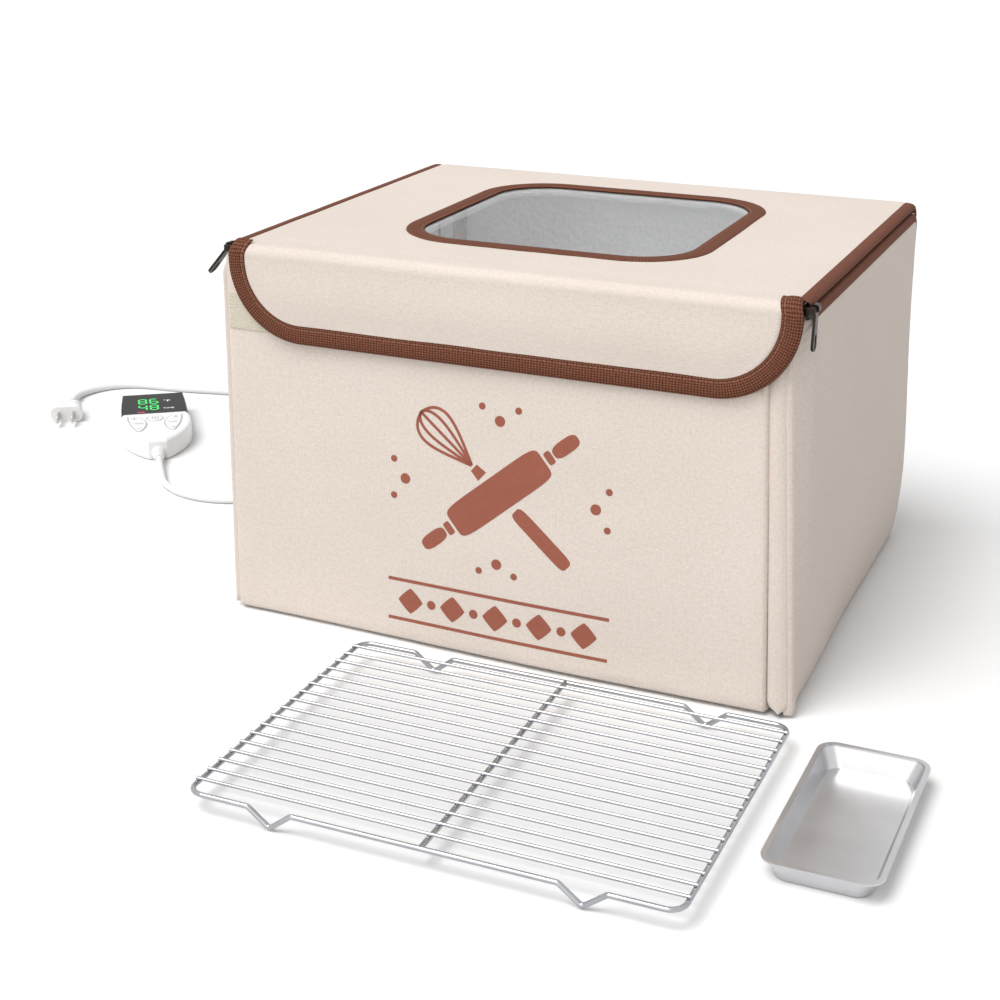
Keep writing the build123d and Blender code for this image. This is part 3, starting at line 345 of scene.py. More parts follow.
def mixed_colour(tree, bsdf, mask, dark, light):
    """Base Color from a mask between two colours, each a triple or a socket; returns the mixed colour."""
    mix = tree.nodes.new("ShaderNodeMix")
    mix.data_type = "RGBA"
    for label, colour in (("A", dark), ("B", light)):
        if isinstance(colour, tuple):
            mix.inputs[label].default_value = (*colour, 1)
        else:
            tree.links.new(colour, mix.inputs[label])
    tree.links.new(mask, mix.inputs["Factor"])
    tree.links.new(mix.outputs["Result"], bsdf.inputs["Base Color"])
    return mix.outputs["Result"]


def bumped(tree, bsdf, height, distance, strength=1.0, below=None):
    """A Bump node from a height to the shader's Normal, over another bump if one is given."""
    node = node_of(tree, "ShaderNodeBump", Strength=strength, Distance=distance)
    tree.links.new(height, node.inputs["Height"])
    if below:
        tree.links.new(below, node.inputs["Normal"])
    if bsdf:
        tree.links.new(node.outputs[0], bsdf.inputs["Normal"])
    return node.outputs[0]


# ------------------------------------------------------------------ finishes


def woven(name, dark, light, thread=0.0012, depth=0.0002, roughness=0.85, sheen=0.15):
    """Woven cloth: thread relief, painted shade that lightens the thread crowns, and slow patches of tone.
    """
    material, tree, bsdf = new_material(
        name, light, roughness, Sheen_Weight=sheen, Sheen_Roughness=0.5, Specular_IOR_Level=0.25
    )
    cloth = use_group(tree, WEAVE, "UV", Thread=thread)
    tone = use_group(tree, MOTTLE, "UV", Patch=9.0, Grain=2600.0)
    # painted shade of the weave's relief, mixed with random patches of tone
    shade = weighted(tree, cloth["Shade"], 0.72, tone["Patches"], 0.3, clamp=True)
    mixed_colour(tree, bsdf, shade, dark, light)
    low = bumped(tree, None, tone["Height"], depth * 0.5, 0.5)
    bumped(tree, bsdf, cloth["Height"], depth, 0.6, low)
    return material


def taped(name, dark, light, stitch_colour, stitch_line):
    """Ribbed tape with a stitched line: UV runs along the tape first and across it second."""
    material, tree, bsdf = new_material(name, light, 0.85, Specular_IOR_Level=0.15)
    tape = use_group(tree, RIBS, "UV", Stitch_Line=stitch_line)
    # painted shade: darker between the ribs and lighter on their crowns; the stitches have their own thread
    # colour
    cloth_colour = mixed_colour(tree, bsdf, tape["Shade"], dark, light)
    mixed_colour(tree, bsdf, tape["Stitch"], cloth_colour, stitch_colour)
    bumped(tree, bsdf, tape["Height"], 0.00025, 0.8)
    return material


def moulded(name, colour, roughness=0.35, grain=0.00002, **shader):
    """Moulded plastic or rubber: very fine grain and a faint change of tone."""
    material, tree, bsdf = new_material(name, colour, roughness, **shader)
    skin = use_group(tree, MOTTLE, "Object", Patch=30.0, Grain=4000.0)
    dark = tuple(c * 0.97 for c in colour)
    light = tuple(min(c * 1.02, 1) for c in colour)
    mixed_colour(tree, bsdf, skin["Patches"], dark, light)
    bumped(tree, bsdf, skin["Height"], grain, 0.5)
    return material


def metal(name, dark, light, roughness, patch=60.0, depth=0.00002):
    """Metal with uneven polish: patches change its colour and roughness a little."""
    material, tree, bsdf = new_material(name, light, roughness, Metallic=1.0)
    skin = use_group(tree, MOTTLE, "Object", Patch=patch, Grain=3000.0)
    mixed_colour(tree, bsdf, skin["Patches"], dark, light)
    rough = maths(tree, "ADD", maths(tree, "MULTIPLY", skin["Patches"], 0.14), roughness - 0.07)
    tree.links.new(rough, bsdf.inputs["Roughness"])
    bumped(tree, bsdf, skin["Height"], depth, 0.4)
    return material


def build_foil():
    """Embossed foil laminate: a small pebbled emboss over slow crinkles, with painted shade of both in its
    colour.
    """
    material, tree, bsdf = new_material(
        "foil", (0.90, 0.92, 0.93), 0.5, Metallic=0.12, Specular_IOR_Level=0.5
    )
    place = place_of(tree, "UV")
    pebble = placed_node(tree, place, "ShaderNodeTexVoronoi", Scale=250.0, feature="SMOOTH_F1")
    crinkle = placed_node(tree, place, "ShaderNodeTexNoise", Scale=34.0, Detail=5.0, Roughness=0.65)
    streak = placed_node(tree, place, "ShaderNodeTexNoise", Scale=9.0, Detail=3.0)
    # painted shade: the colour follows the crinkles and the pebbled emboss, lighter where they rise, with
    # slow streaks of random tone
    slow = weighted(tree, crinkle.outputs["Fac"], 0.5, streak.outputs["Fac"], 0.2)
    quick = maths(tree, "MULTIPLY", pebble.outputs["Distance"], 0.9)
    shade = maths(tree, "ADD", slow, quick, clamp=True)
    mixed_colour(tree, bsdf, shade, (0.84, 0.86, 0.87), (0.99, 0.99, 0.99))
    low = bumped(tree, None, crinkle.outputs["Fac"], 0.0022, 0.6)
    bumped(tree, bsdf, pebble.outputs["Distance"], 0.0010, 0.8, low)
    return material


def build_pane():
    """Clear soft vinyl, with a slight wave in it."""
    material, tree, bsdf = new_material(
        "clear_vinyl", (0.98, 0.99, 0.995), 0.02, Transmission_Weight=1.0, Alpha=0.4, IOR=1.2
    )
    wave = use_group(tree, MOTTLE, "Object", Patch=9.0, Grain=40.0)
    bumped(tree, bsdf, wave["Patches"], 0.0002, 0.3)
    return material


def build_loops():
    """Brushed loop tape: a napped fibre surface over small tufts."""
    material, tree, bsdf = new_material(
        "loop_tape", (0.70, 0.64, 0.50), 0.95, Sheen_Weight=0.5, Specular_IOR_Level=0.15
    )
    place = place_of(tree, "UV")
    nap = placed_node(tree, place, "ShaderNodeTexNoise", Scale=1500.0, Detail=4.0)
    tuft = placed_node(tree, place, "ShaderNodeTexVoronoi", Scale=900.0)
    mixed_colour(tree, bsdf, nap.outputs["Fac"], (0.55, 0.49, 0.38), (0.83, 0.76, 0.63))
    low = bumped(tree, None, tuft.outputs["Distance"], 0.0006, 0.7)
    bumped(tree, bsdf, nap.outputs["Fac"], 0.0007, 0.8, low)
    return material


def glow(name, colour, strength):
    """A lit segment or sign on the display."""
    dim = tuple(c * 0.6 for c in colour)
    material, tree, bsdf = new_material(name, dim, 0.5, Emission_Strength=strength)
    flicker = use_group(tree, MOTTLE, "Object", Patch=500.0, Grain=3000.0)
    lit = mixed_colour(tree, bsdf, flicker["Patches"], tuple(c * 0.7 for c in colour), colour)
    tree.links.new(lit, bsdf.inputs["Emission Color"])
    return material


# each cloth's and tape's two colours are the ends of its mask: the darker is painted shade between threads
# or ribs, the lighter the crowns, with random tone between
CANVAS = woven("canvas", (0.550, 0.470, 0.402), (0.823, 0.727, 0.658))
STRIP_CANVAS = woven("corner_canvas", (0.535, 0.458, 0.392), (0.805, 0.712, 0.645), thread=0.0010)
BASE_CLOTH = woven("base_cloth", (0.030, 0.020, 0.016), (0.085, 0.050, 0.036), roughness=0.9)
ZIP_TAPE = woven("zip_tape", (0.065, 0.022, 0.013), (0.200, 0.070, 0.040), thread=0.0011, sheen=0.0)
BINDING = taped("binding", (0.026, 0.009, 0.006), (0.270, 0.100, 0.056), (0.27, 0.12, 0.08), 0.0100)
FOIL = build_foil()
PANE = build_pane()
LOOPS = build_loops()
MAT_CLOTH = woven("mat_cloth", (0.24, 0.25, 0.27), (0.46, 0.48, 0.50))
PRINT = woven("print_ink", (0.215, 0.062, 0.038), (0.400, 0.125, 0.078), depth=0.00012, roughness=0.7)
WHITE_CASE = moulded("white_case", (0.86, 0.86, 0.86), 0.28, Coat_Weight=0.2)
WHITE_KEYS = moulded("white_keys", (0.82, 0.82, 0.82), 0.42)
WHITE_CORD = moulded("white_cord", (0.84, 0.84, 0.84), 0.45)
BLACK_LENS = moulded(
    "black_lens", (0.006, 0.006, 0.007), 0.12, grain=0.000004, IOR=1.18, Specular_IOR_Level=0.35
)
DARK_PART = moulded("dark_part", (0.02, 0.02, 0.022), 0.5)
GREEN_BOARD = moulded("green_board", (0.02, 0.12, 0.05), 0.4)
HEATER = moulded("heater_wire", (0.5, 0.08, 0.05), 0.5)
TEETH = moulded("zip_teeth", (0.075, 0.034, 0.024), 0.4)
GREY_INK = moulded("grey_ink", (0.20, 0.21, 0.22), 0.6)
GUNMETAL = metal("gunmetal", (0.014, 0.011, 0.010), (0.060, 0.048, 0.043), 0.36, patch=260.0, depth=0.00003)
CHROME = metal("chrome", (0.30, 0.31, 0.33), (0.52, 0.53, 0.55), 0.18)
STAINLESS = metal("stainless", (0.50, 0.50, 0.51), (0.70, 0.70, 0.71), 0.30, patch=25.0)
NICKEL = metal("nickel", (0.48, 0.46, 0.42), (0.72, 0.70, 0.66), 0.25)
GREEN_GLOW = glow("green_glow", (0.03, 0.62, 0.12), 0.9)
WHITE_GLOW = glow("white_glow", (0.80, 0.80, 0.80), 0.7)
RED_GLOW = glow("red_glow", (0.65, 0.03, 0.02), 0.7)

FINISHES = {
    "left_zip_teeth": TEETH, "right_zip_teeth": TEETH,
    "left_slider": GUNMETAL, "right_slider": GUNMETAL, "left_pull": GUNMETAL, "right_pull": GUNMETAL,
    "control_base": WHITE_CASE, "control_top": WHITE_CASE, "display_lens": BLACK_LENS,
    "circuit_board": GREEN_BOARD, "digit_module": DARK_PART, "control_screws": NICKEL,
    "power_button": WHITE_KEYS, "temp_rocker": WHITE_KEYS, "time_rocker": WHITE_KEYS,
    "control_relief": WHITE_CORD, "cable_boot": WHITE_CORD, "plug_body": WHITE_CORD, "plug_blades": NICKEL,
    "heating_wire": HEATER, "rack_rim": CHROME, "rack_wires": CHROME, "tray": STAINLESS,
}
for label, finish in FINISHES.items():
    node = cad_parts[label]
    node.data.materials.clear()
    node.data.materials.append(finish)

# ------------------------------------------------------------------ wrapped boards


def wrap_line(half, edge, turn, spacing):
    """Stations across a wrapped board, from one side to the other, in millimetres.

    Returns how far over its rounded edge each station lies, from -1 to 1 as the sine of its angle, its
    place before the rounding is added, and how far past the rounding it lies, down to the depth turn.
    """
    flat = np.linspace(-(half - edge), half - edge, max(int(2 * (half - edge) / spacing), 2))
    round_part = np.linspace(0, pi / 2, 6)[1:]
    down = np.linspace(0, turn - edge, 3)[1:]
    over = np.concatenate([np.zeros(len(flat)), np.sin(round_part), np.ones(len(down))])
    place = np.concatenate([flat, np.full(len(round_part) + len(down), half - edge)])
    extra = np.concatenate([np.zeros(len(flat) + len(round_part)), down])
    back = slice(None, len(flat) - 1, -1)
    over = np.concatenate([-over[back], over])
    place = np.concatenate([-place[back], place])
    extra = np.concatenate([extra[back], extra])
    return over, place, extra


def wrapped_grid(width, height, edge, turn, spacing):
    """Cloth over a board and down its four sides, as grids of stations and of (across, up, out) points.

    The cloth turns along quarter circles of radius edge, joined at the corners by the square-to-disc map
    (a, b) -> (a sqrt(1 - b^2/2), b sqrt(1 - a^2/2)), and runs turn deep. The stations say how far over
    the edges each point lies both ways, and its place before the rounding is added.
    """
    a, flat_a, down_a = wrap_line(width / 2, edge, turn, spacing)
    b, flat_b, down_b = wrap_line(height / 2, edge, turn, spacing)
    a, b = np.meshgrid(a, b, indexing="ij")
    flat_a, flat_b = np.meshgrid(flat_a, flat_b, indexing="ij")
    down_a, down_b = np.meshgrid(down_a, down_b, indexing="ij")
    disc_a, disc_b = a * np.sqrt(1 - b * b / 2), b * np.sqrt(1 - a * a / 2)
    out = edge * (np.sqrt(np.clip(1 - disc_a**2 - disc_b**2, 0, 1)) - 1) - np.maximum(down_a, down_b)
    return (a, b, flat_a, flat_b), (flat_a + edge * disc_a, flat_b + edge * disc_b, out)


def wrapped_face(width, height, seed, calm=None):
    """The cloth of a wall seen from outside, as (across, up, out) points in millimetres, and its UV map.

    Across and up are measured from the wall's centre. The cloth crowns by 0.8 along 1 - u^4 both ways,
    waves a little, and puckers near its edges as exp(-(distance / 16)^2); at the height calm it stays flat.
    """
    stations, (across, up, out) = wrapped_grid(width, height, CLOTH_EDGE, CLOTH_TURN, CLOTH_SPACING)
    a, b, flat_a, flat_b = stations
    inside_a = 1 - np.clip(np.abs(flat_a) / (width / 2), 0, 1) ** 4
    inside_b = 1 - np.clip(np.abs(flat_b) / (height / 2), 0, 1) ** 4
    inside = inside_a * inside_b
    to_edge = np.minimum(width / 2 - np.abs(across), height / 2 - np.abs(up))
    rim = np.exp(-((to_edge / 16.0) ** 2)) * (np.abs(a) < 0.5) * (np.abs(b) < 0.5)
    wave = ripple(across, up, 55.0, seed) * 0.35 * inside + ripple(across, up, 24.0, seed + 7) * 0.25 * rim
    if calm is not None:
        wave = wave * ease((np.abs(up - calm) - 3.0) / 8.0)
    out = out + (0.8 * inside + wave)
    # down the turned sides the pattern runs with the depth
    map_a = across + out * np.sign(a) * (np.abs(a) > 0.99)
    map_b = up + out * np.sign(b) * (np.abs(b) > 0.99)
    return across, up, out, np.stack([map_a, map_b], 2) * MM


def on_face(out):
    """1 on a cloth's face, falling evenly to 0 where its turned edge lies 8 mm behind the face."""
    return 1 - np.clip(-out / 8.0, 0, 1)


def placed(across, up, out, origin, across_dir, up_dir, out_dir):
    """Points of a board's cloth set in the row frame."""
    return (
        np.array(origin, float)
        + across[..., None] * np.array(across_dir, float)
        + up[..., None] * np.array(up_dir, float)
        + out[..., None] * np.array(out_dir, float)
    )


def foil_sheet(name, width, height, origin, across_dir, up_dir, out_dir, seed):
    """A foil lining: a flat sheet with small buckles that fade along its edges, facing into the box."""
    a = np.linspace(-width / 2, width / 2, int(width / FOIL_SPACING) + 1)
    b = np.linspace(-height / 2, height / 2, int(height / FOIL_SPACING) + 1)
    a, b = np.meshgrid(a, b, indexing="ij")
    fade = (1 - (2 * a / width) ** 8) * (1 - (2 * b / height) ** 8)
    out = -0.45 + (ripple(a, b, 38.0, seed) + ripple(a, b, 15.0, seed + 3) * 0.5) * 0.4 * fade
    points = placed(a, b, out, origin, across_dir, up_dir, out_dir)
    piece = surface(name, points, FOIL, uvs=np.stack([a, b], 2) * MM)
    facing(piece, out_dir)
    return piece


def box_sheet(name, x0, x1, y0, y1, z0, z1, edge, material, spacing=8.0, wave=0.0):
    """A low block with a rounded upper edge: a wrapped grid over its plan, waved on top."""
    stations, (x, y, z) = wrapped_grid(x1 - x0, y1 - y0, edge, z1 - z0, spacing)
    a, b = stations[:2]
    z = z + ripple(x, y, 45.0, 5) * wave * (np.abs(a) < 0.5) * (np.abs(b) < 0.5)
    points = np.stack([x + (x0 + x1) / 2, y + (y0 + y1) / 2, z + z1], 2)
    piece = surface(name, points, material, uvs=np.stack([x, y], 2) * MM)
    facing(piece, (0, 0, 1))
    return piece


# ------------------------------------------------------------------ how the soft walls splay
LEAN_TOP = 243.0  # the front wall's cloth leans from here down
SIDE_PROUD = 2.4  # how far the side walls' cloth stands off its board at the top


def fallen(z, top):
    """The share of the way from a height down to the counter: 1 - z / top, held between 0 and 1."""
    return np.clip(1 - np.asarray(z, float) / top, 0, 1)


def side_lean(sign, y, z):
    """How far a side wall's cloth stands out from its board at a point.

    The right one swells most low down, along sin(pi t^2.5), and towards its front foot, along t^3; the
    left one swells soon below the zip and then evenly. t runs from 0 at the lid to 1 at the counter.
    """
    if sign < 0:
        return SIDE_PROUD + 7.2 * ease((LEAN_TOP - np.asarray(z, float)) / 16)
    t = fallen(z, HEIGHT)
    return SIDE_PROUD + 4.5 * np.sin(pi * t**2.5) + 3.5 * t**3 * ease((20 - y) / 150)


def front_lean(x, z):
    """How far the front wall's cloth stands out: along t^1.2 to its foot, and more towards the right."""
    return (7.0 + 8.0 * ease((x + HALF_W) / 260.0)) * fallen(z, LEAN_TOP) ** 1.2


def rear_lean(z):
    """How far the rear edge of the side walls and the back wall stand out: 10 t^1.2, most at the foot."""
    return 10.0 * fallen(z, HEIGHT) ** 1.2


def front_edge_shift(x, z):
    """How far the front wall's cloth is drawn sideways near its left and right edges.

    Both edges are drawn in at the top, and towards the foot the right one comes out again in proportion.
    """
    at_right, at_left = ease((x - 110) / 50), ease((-x - 110) / 50)
    return (17.0 * fallen(z, LEAN_TOP) - 11.2) * at_right - 16.2 * at_left


def front_corner(z):
    """How far out the right wall's cloth lies at its front edge: evenly more towards the foot."""
    return 174.9 + 20.0 * fallen(z, LEAN_TOP)


# ------------------------------------------------------------------ side walls
# each has one cloth, from the floor's edge to the zip
CLOTH_FRONT, CLOTH_REAR, CLOTH_TOP = -145.0, 146.0, 241.0
REAR_ROUND_TOP, REAR_ROUND_FOOT = 9.0, 16.0
SIDE_FOIL_TOP, SIDE_FOIL_SHORT = 239.0, 6.0  # the linings stop short of the boards' front ends
SEAM = 0.3  # half the gap between two linings
for side, sign, hinge in (("left", -1, LEFT_HINGE), ("right", 1, RIGHT_HINGE)):
    across, up, out, uvs = wrapped_face(CLOTH_REAR - CLOTH_FRONT, CLOTH_TOP - CLOTH_FOOT, 11 + sign)
    middle = (CLOTH_FRONT + CLOTH_REAR) / 2
    y, z = across + middle, up + (CLOTH_FOOT + CLOTH_TOP) / 2
    # the rear corners are quarter circles: the cloth is shortened towards the rear by what they cut off
    for radius, from_end in ((REAR_ROUND_TOP, CLOTH_TOP - z), (REAR_ROUND_FOOT, z - CLOTH_FOOT)):
        cut = radius * quarter_drop((radius - from_end) / radius)
        y = y - cut * ease((y - middle) / (CLOTH_REAR - middle))
    to_rear = np.clip((y - middle) / (CLOTH_REAR - middle), 0, 1)
    to_front = np.clip((middle - y) / (middle - CLOTH_FRONT), 0, 1)
    drawn = 3.0 + 0.95 * front_lean(HALF_W, z) if sign > 0 else 0.75 * front_lean(-HALF_W, z)
    y = y + rear_lean(z) * to_rear - drawn * to_front
    x = HALF_W + out + side_lean(sign, y, z) * on_face(out)
    if sign > 0:
        # its front edge is gathered to the corner strip, except just below the zip
        gathered = ease((to_front - 0.86) / 0.14) * ease((CLOTH_TOP - z) / 19.0)
        x = x + (front_corner(z) + out - x) * gathered
    cloth = surface(f"{side}_cloth", np.stack([sign * x, y, z], 2), CANVAS, uvs=uvs)
    facing(cloth, (sign, 0, 0))
    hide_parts(f"{side}_panel")
    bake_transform(cloth)
    foil_front, foil_foot = SIDE_FRONT + SIDE_FOIL_SHORT, hinge + SEAM
    lining = foil_sheet(
        f"{side}_foil", SIDE_REAR - foil_front, SIDE_FOIL_TOP - foil_foot,
        (sign * (SIDE_INNER + LINING_OUT), (foil_front + SIDE_REAR) / 2, (SIDE_FOIL_TOP + foil_foot) / 2),
        (0, 1, 0), (0, 0, 1), (-sign, 0, 0), 31 + sign,
    )
    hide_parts(f"{side}_lining")
    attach(lining, f"{side}_side")

# ------------------------------------------------------------------ front and back walls
# each has one cloth, cut into a skirt below and a face above
FACE_TOP = 243.1
JOIN_Z = 82.0  # height of the cut
BACK_PROUD = 1.2  # how far the back wall's cloth stands off its board at the top
FACE_MIDDLE = (CLOTH_FOOT + FACE_TOP) / 2
for wall, side, half in (("front", -1, FRONT_HALF), ("back", 1, BACK_HALF)):
    across, up, out, uvs = wrapped_face(2 * half, FACE_TOP - CLOTH_FOOT, 41 + side, JOIN_Z - FACE_MIDDLE)
    points = placed(across, up, out, (0, side * HALF_D, FACE_MIDDLE), (1, 0, 0), (0, 0, 1), (0, side, 0))
    if wall == "front":
        front_out = out
        points[..., 0] += front_edge_shift(across, points[..., 2])
        points[..., 1] -= front_lean(points[..., 0], points[..., 2]) * on_face(out)
    else:
        points[..., 1] += BACK_PROUD + rear_lean(points[..., 2]) * on_face(out)
    row = int(np.argmin(np.abs(up[0] + FACE_MIDDLE - JOIN_Z)))
    skirt = surface(f"{wall}_skirt", points[:, : row + 1], CANVAS, uvs=uvs[:, : row + 1])
    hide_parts(f"{wall}_lower_panel")
    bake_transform(skirt)
    face = surface(f"{wall}_face", points[:, row:], CANVAS, uvs=uvs[:, row:])
    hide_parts(f"{wall}_upper_panel")
    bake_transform(face)
    for cloth in (skirt, face):
        facing(cloth, (0, side, 0))
    for part, foot, top in (("lower", LONG_HINGE, KNEE_Z), ("upper", KNEE_Z, RIM_Z)):
        z0, z1 = foot + SEAM, top - SEAM
        lining = foil_sheet(
            f"{wall}_{part}_foil", 2 * half, z1 - z0, (0, side * (LONG_INNER + LINING_OUT), (z0 + z1) / 2),
            (1, 0, 0), (0, 0, 1), (0, -side, 0), 51 + side + int(z0),
        )
        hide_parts(f"{wall}_{part}_lining")
        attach(lining, f"{wall}_{part}")

# the front wall's face as a grid of how far it stands out, for what lies on it
_, line_x, _ = wrap_line(FRONT_HALF, CLOTH_EDGE, CLOTH_TURN, CLOTH_SPACING)
_, line_z, _ = wrap_line((FACE_TOP - CLOTH_FOOT) / 2, CLOTH_EDGE, CLOTH_TURN, CLOTH_SPACING)
inner_x, inner_z = (np.abs(np.gradient(line)) > 1.0 for line in (line_x, line_z))
face_x, face_z = line_x[inner_x], line_z[inner_z] + FACE_MIDDLE
face_out = front_out[np.ix_(inner_x, inner_z)]


def front_cloth_out(x, z):
    """How far the front wall's cloth stands out at a point: its own grid, read linearly, and its lean."""
    i = np.clip(np.searchsorted(face_x, x) - 1, 0, len(face_x) - 2)
    j = np.clip(np.searchsorted(face_z, z) - 1, 0, len(face_z) - 2)
    s = np.clip((x - face_x[i]) / (face_x[i + 1] - face_x[i]), 0, 1)
    t = np.clip((z - face_z[j]) / (face_z[j + 1] - face_z[j]), 0, 1)
    low = face_out[i, j] * (1 - s) + face_out[i + 1, j] * s
    high = face_out[i, j + 1] * (1 - s) + face_out[i + 1, j + 1] * s
    return low * (1 - t) + high * t + front_lean(x, z)


# ------------------------------------------------------------------ floor of the box
FLOOR_TOP = 8.6  # the lining, on which the mat lies
BASE_HALF_W, BASE_HALF_D, BASE_CORNER = 186.0, 150.5, 7.0
BASE_EDGE = ((0.985, 5.0), (0.995, 4.6), (1.0, 3.8), (1.0, 0.8), (0.997, 0.2), (0.99, 0.0))


def corner_plan(half_w, half_d, leg, per_side):
    """Points round a rectangle whose front corners are cut at 45 degrees, as many along each side."""
    corners = np.array([
        (-half_w, half_d), (-half_w, -half_d + leg), (-half_w + leg, -half_d),
        (half_w - leg, -half_d), (half_w, -half_d + leg), (half_w, half_d), (-half_w, half_d),
    ])
    t = np.linspace(0, 1, per_side, endpoint=False)[:, None]
    return np.concatenate([a * (1 - t) + b * t for a, b in zip(corners, corners[1:])])


# the base's cover: an edge rounded above and below, and a flat underside drawn in to a point
base_plan = corner_plan(BASE_HALF_W, BASE_HALF_D, BASE_CORNER, 14)
centre = np.array([0.0, 20.0])
rings = [(base_plan * share, z) for share, z in BASE_EDGE]
rings += [(centre + (base_plan - centre) * share, 0.0) for share in (0.75, 0.4, 0.0)]
points = np.stack([np.column_stack([plan, np.full(len(plan), z)]) for plan, z in rings], 1)
base = surface("base_cover", points, BASE_CLOTH, close_rows=True)
facing(base, (0, 0, -1))
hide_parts("bottom_cover")
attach(base, "floor")

# kerbs that carry the walls, and the board between them
KERB_X, KERB_Y, KERB_FRONT, KERB_FOOT = 184.6, 149.6, -124, 5.0
KERB_GAP, KERB_EDGE = 0.4, 0.8
kerbs = [
    box_sheet(f"kerb_{name}", x0, x1, y0, y1, KERB_FOOT, hinge - KERB_GAP, KERB_EDGE, CANVAS)
    for name, x0, x1, y0, y1, hinge in (
        ("left", -KERB_X, -SIDE_INNER, KERB_FRONT, KERB_Y, LEFT_HINGE),
        ("right", SIDE_INNER, KERB_X, KERB_FRONT, KERB_Y, RIGHT_HINGE),
        ("front", -158, 158, -KERB_Y, -LONG_INNER, LONG_HINGE),
        ("back", -BACK_HALF, BACK_HALF, LONG_INNER, KERB_Y, LONG_HINGE),
    )
]
board = box_sheet(
    "floor_board", -SIDE_INNER, SIDE_INNER, -LONG_INNER, LONG_INNER, 1.6, 7.4, 0.6, CANVAS, spacing=20.0
)
kerb = joined("floor_kerbs", [*kerbs, board])
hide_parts("floor_tray")
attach(kerb, "floor")

floor_foil = foil_sheet(
    "floor_foil", 357.0, 287.0, (0, 0, FLOOR_TOP), (1, 0, 0), (0, 1, 0), (0, 0, 1), 77
)
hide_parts("floor_lining")
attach(floor_foil, "floor")

mat = box_sheet("mat_pad", -140, 140, -115, 115, FLOOR_TOP, 11.4, 1.2, MAT_CLOTH, spacing=6.0, wave=0.15)
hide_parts("mat_base", "mat_cover")
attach(mat, "floor")
tail = box_sheet("mat_tab", -179, -140.2, 96, 124, FLOOR_TOP, 11.2, 1.0, MAT_CLOTH, spacing=5.0)
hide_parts("mat_tail")
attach(tail, "floor")

# ------------------------------------------------------------------ lid
LID_SPLIT = -140.0  # from here forwards the cloth belongs to the nose and the flap
LID_TOP = HEIGHT + 0.15  # the cloth's edge; between the edges it crowns a little
CORNER_POINTS, SIDE_POINTS = 10, 44  # on each corner and each side of the lid's outlines


def rounded_outline(width, depth, radius, per_side, per_corner):
    """Points round a rounded rectangle, centred, anticlockwise from the right end of its rear side."""
    hw, hd = width / 2 - radius, depth / 2 - radius
    runs = []
    centres = ((hw, hd), (-hw, hd), (-hw, -hd), (hw, -hd))
    for k, (cx, cy) in enumerate(centres):
        angle = np.linspace(k * pi / 2, (k + 1) * pi / 2, per_corner)
        arc = np.stack([cx + radius * np.cos(angle), cy + radius * np.sin(angle)], 1)
        nx, ny = centres[(k + 1) % 4]
        start = np.array([nx + radius * cos((k + 1) * pi / 2), ny + radius * sin((k + 1) * pi / 2)])
        t = np.linspace(0, 1, per_side + 1)[1:-1, None]
        runs += [arc, arc[-1] * (1 - t) + start * t]
    return np.concatenate(runs)


def window_outline(inset, per_side, per_corner):
    """The window's outline at its place in the lid, drawn in by inset on every side."""
    outline = rounded_outline(
        WINDOW_W - 2 * inset, WINDOW_D - 2 * inset, WINDOW_R - inset, per_side, per_corner
    )
    return outline + WINDOW_AT


def lid_outline(half, front, rear):
    """The lid's own outline, from its front to its rear end."""
    outline = rounded_outline(2 * half, rear - front, 1.5, SIDE_POINTS, CORNER_POINTS)
    return outline + (0, (rear + front) / 2)


def frame_plan(inner, outer):
    """A grid of plane points from an inner outline evenly out to an outer one: x, y, and the share out."""
    share = np.linspace(0, 1, 22)
    plan = inner[:, None] * (1 - share[:, None]) + outer[:, None] * share[:, None]
    return plan[..., 0], plan[..., 1], share


def closed_plan_uvs(x, y):
    """A closed sheet's UV map from its own plan, in metres; its first row comes again at the seam."""
    plan = np.stack([x, y], 2)
    return np.concatenate([plan, plan[:1]], 0) * MM


# top: cloth between the window and the lid's edge, turned down along the rear
x, y, _ = frame_plan(
    window_outline(8, SIDE_POINTS, CORNER_POINTS), lid_outline(LID_HALF, LID_SPLIT, LID_REAR)
)
to_front = ease((y - LID_SPLIT - 2) / 14)
away = np.minimum(np.minimum(LID_HALF - np.abs(x), LID_REAR - y), 30) / 30
sag = (ripple(x, y, 70.0, 91) * 0.35 + ripple(x, y, 26.0, 92) * 0.12) * to_front * np.clip(away * 4, 0, 1)
z = LID_TOP + 0.5 * ease(away * 1.2) * to_front + sag
z = z - quarter_drop((y - (LID_REAR - 4)) / 4) * 4.0
lid_cloth = surface(
    "lid_cloth", np.stack([x, y, z], 2), CANVAS, close_rows=True, uvs=closed_plan_uvs(x, y)
)
facing(lid_cloth, (0, 0, 1))
gx, drop = np.meshgrid(np.linspace(-LID_HALF, LID_HALF, 60), np.linspace(0, 1, 6), indexing="ij")
rear_points = np.stack([gx, np.full_like(gx, LID_REAR), HEIGHT - 3.8 - drop * 2.2], 2)
rear_edge = surface("lid_rear_edge", rear_points, CANVAS)
facing(rear_edge, (0, 1, 0))
lid_cloth = joined("lid_cloth", [lid_cloth, rear_edge])
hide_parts("lid_panel")
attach(lid_cloth, "lid")

# ------------------------------------------------------------------ flap's cloth
FLAP_Y = -152.4  # its back
NOSE = 6.5  # radius of the fold over the lid's front edge
NOSE_Y = FLAP_Y - 4.0  # the cloth's face below the fold
TAPE_LAP = 11.0  # the cloth ends this far inside the flap's outline, under the binding


def flap_half_at(height, inset):
    """Half the flap's width at a height: straight sides, then a quarter circle at each lower corner."""
    radius = FLAP_CORNER - inset
    low = np.clip(FLAP_FOOT + FLAP_CORNER - height, 0, radius)
    return FLAP_HALF - FLAP_CORNER + np.sqrt(np.clip(radius**2 - low**2, 0, None))


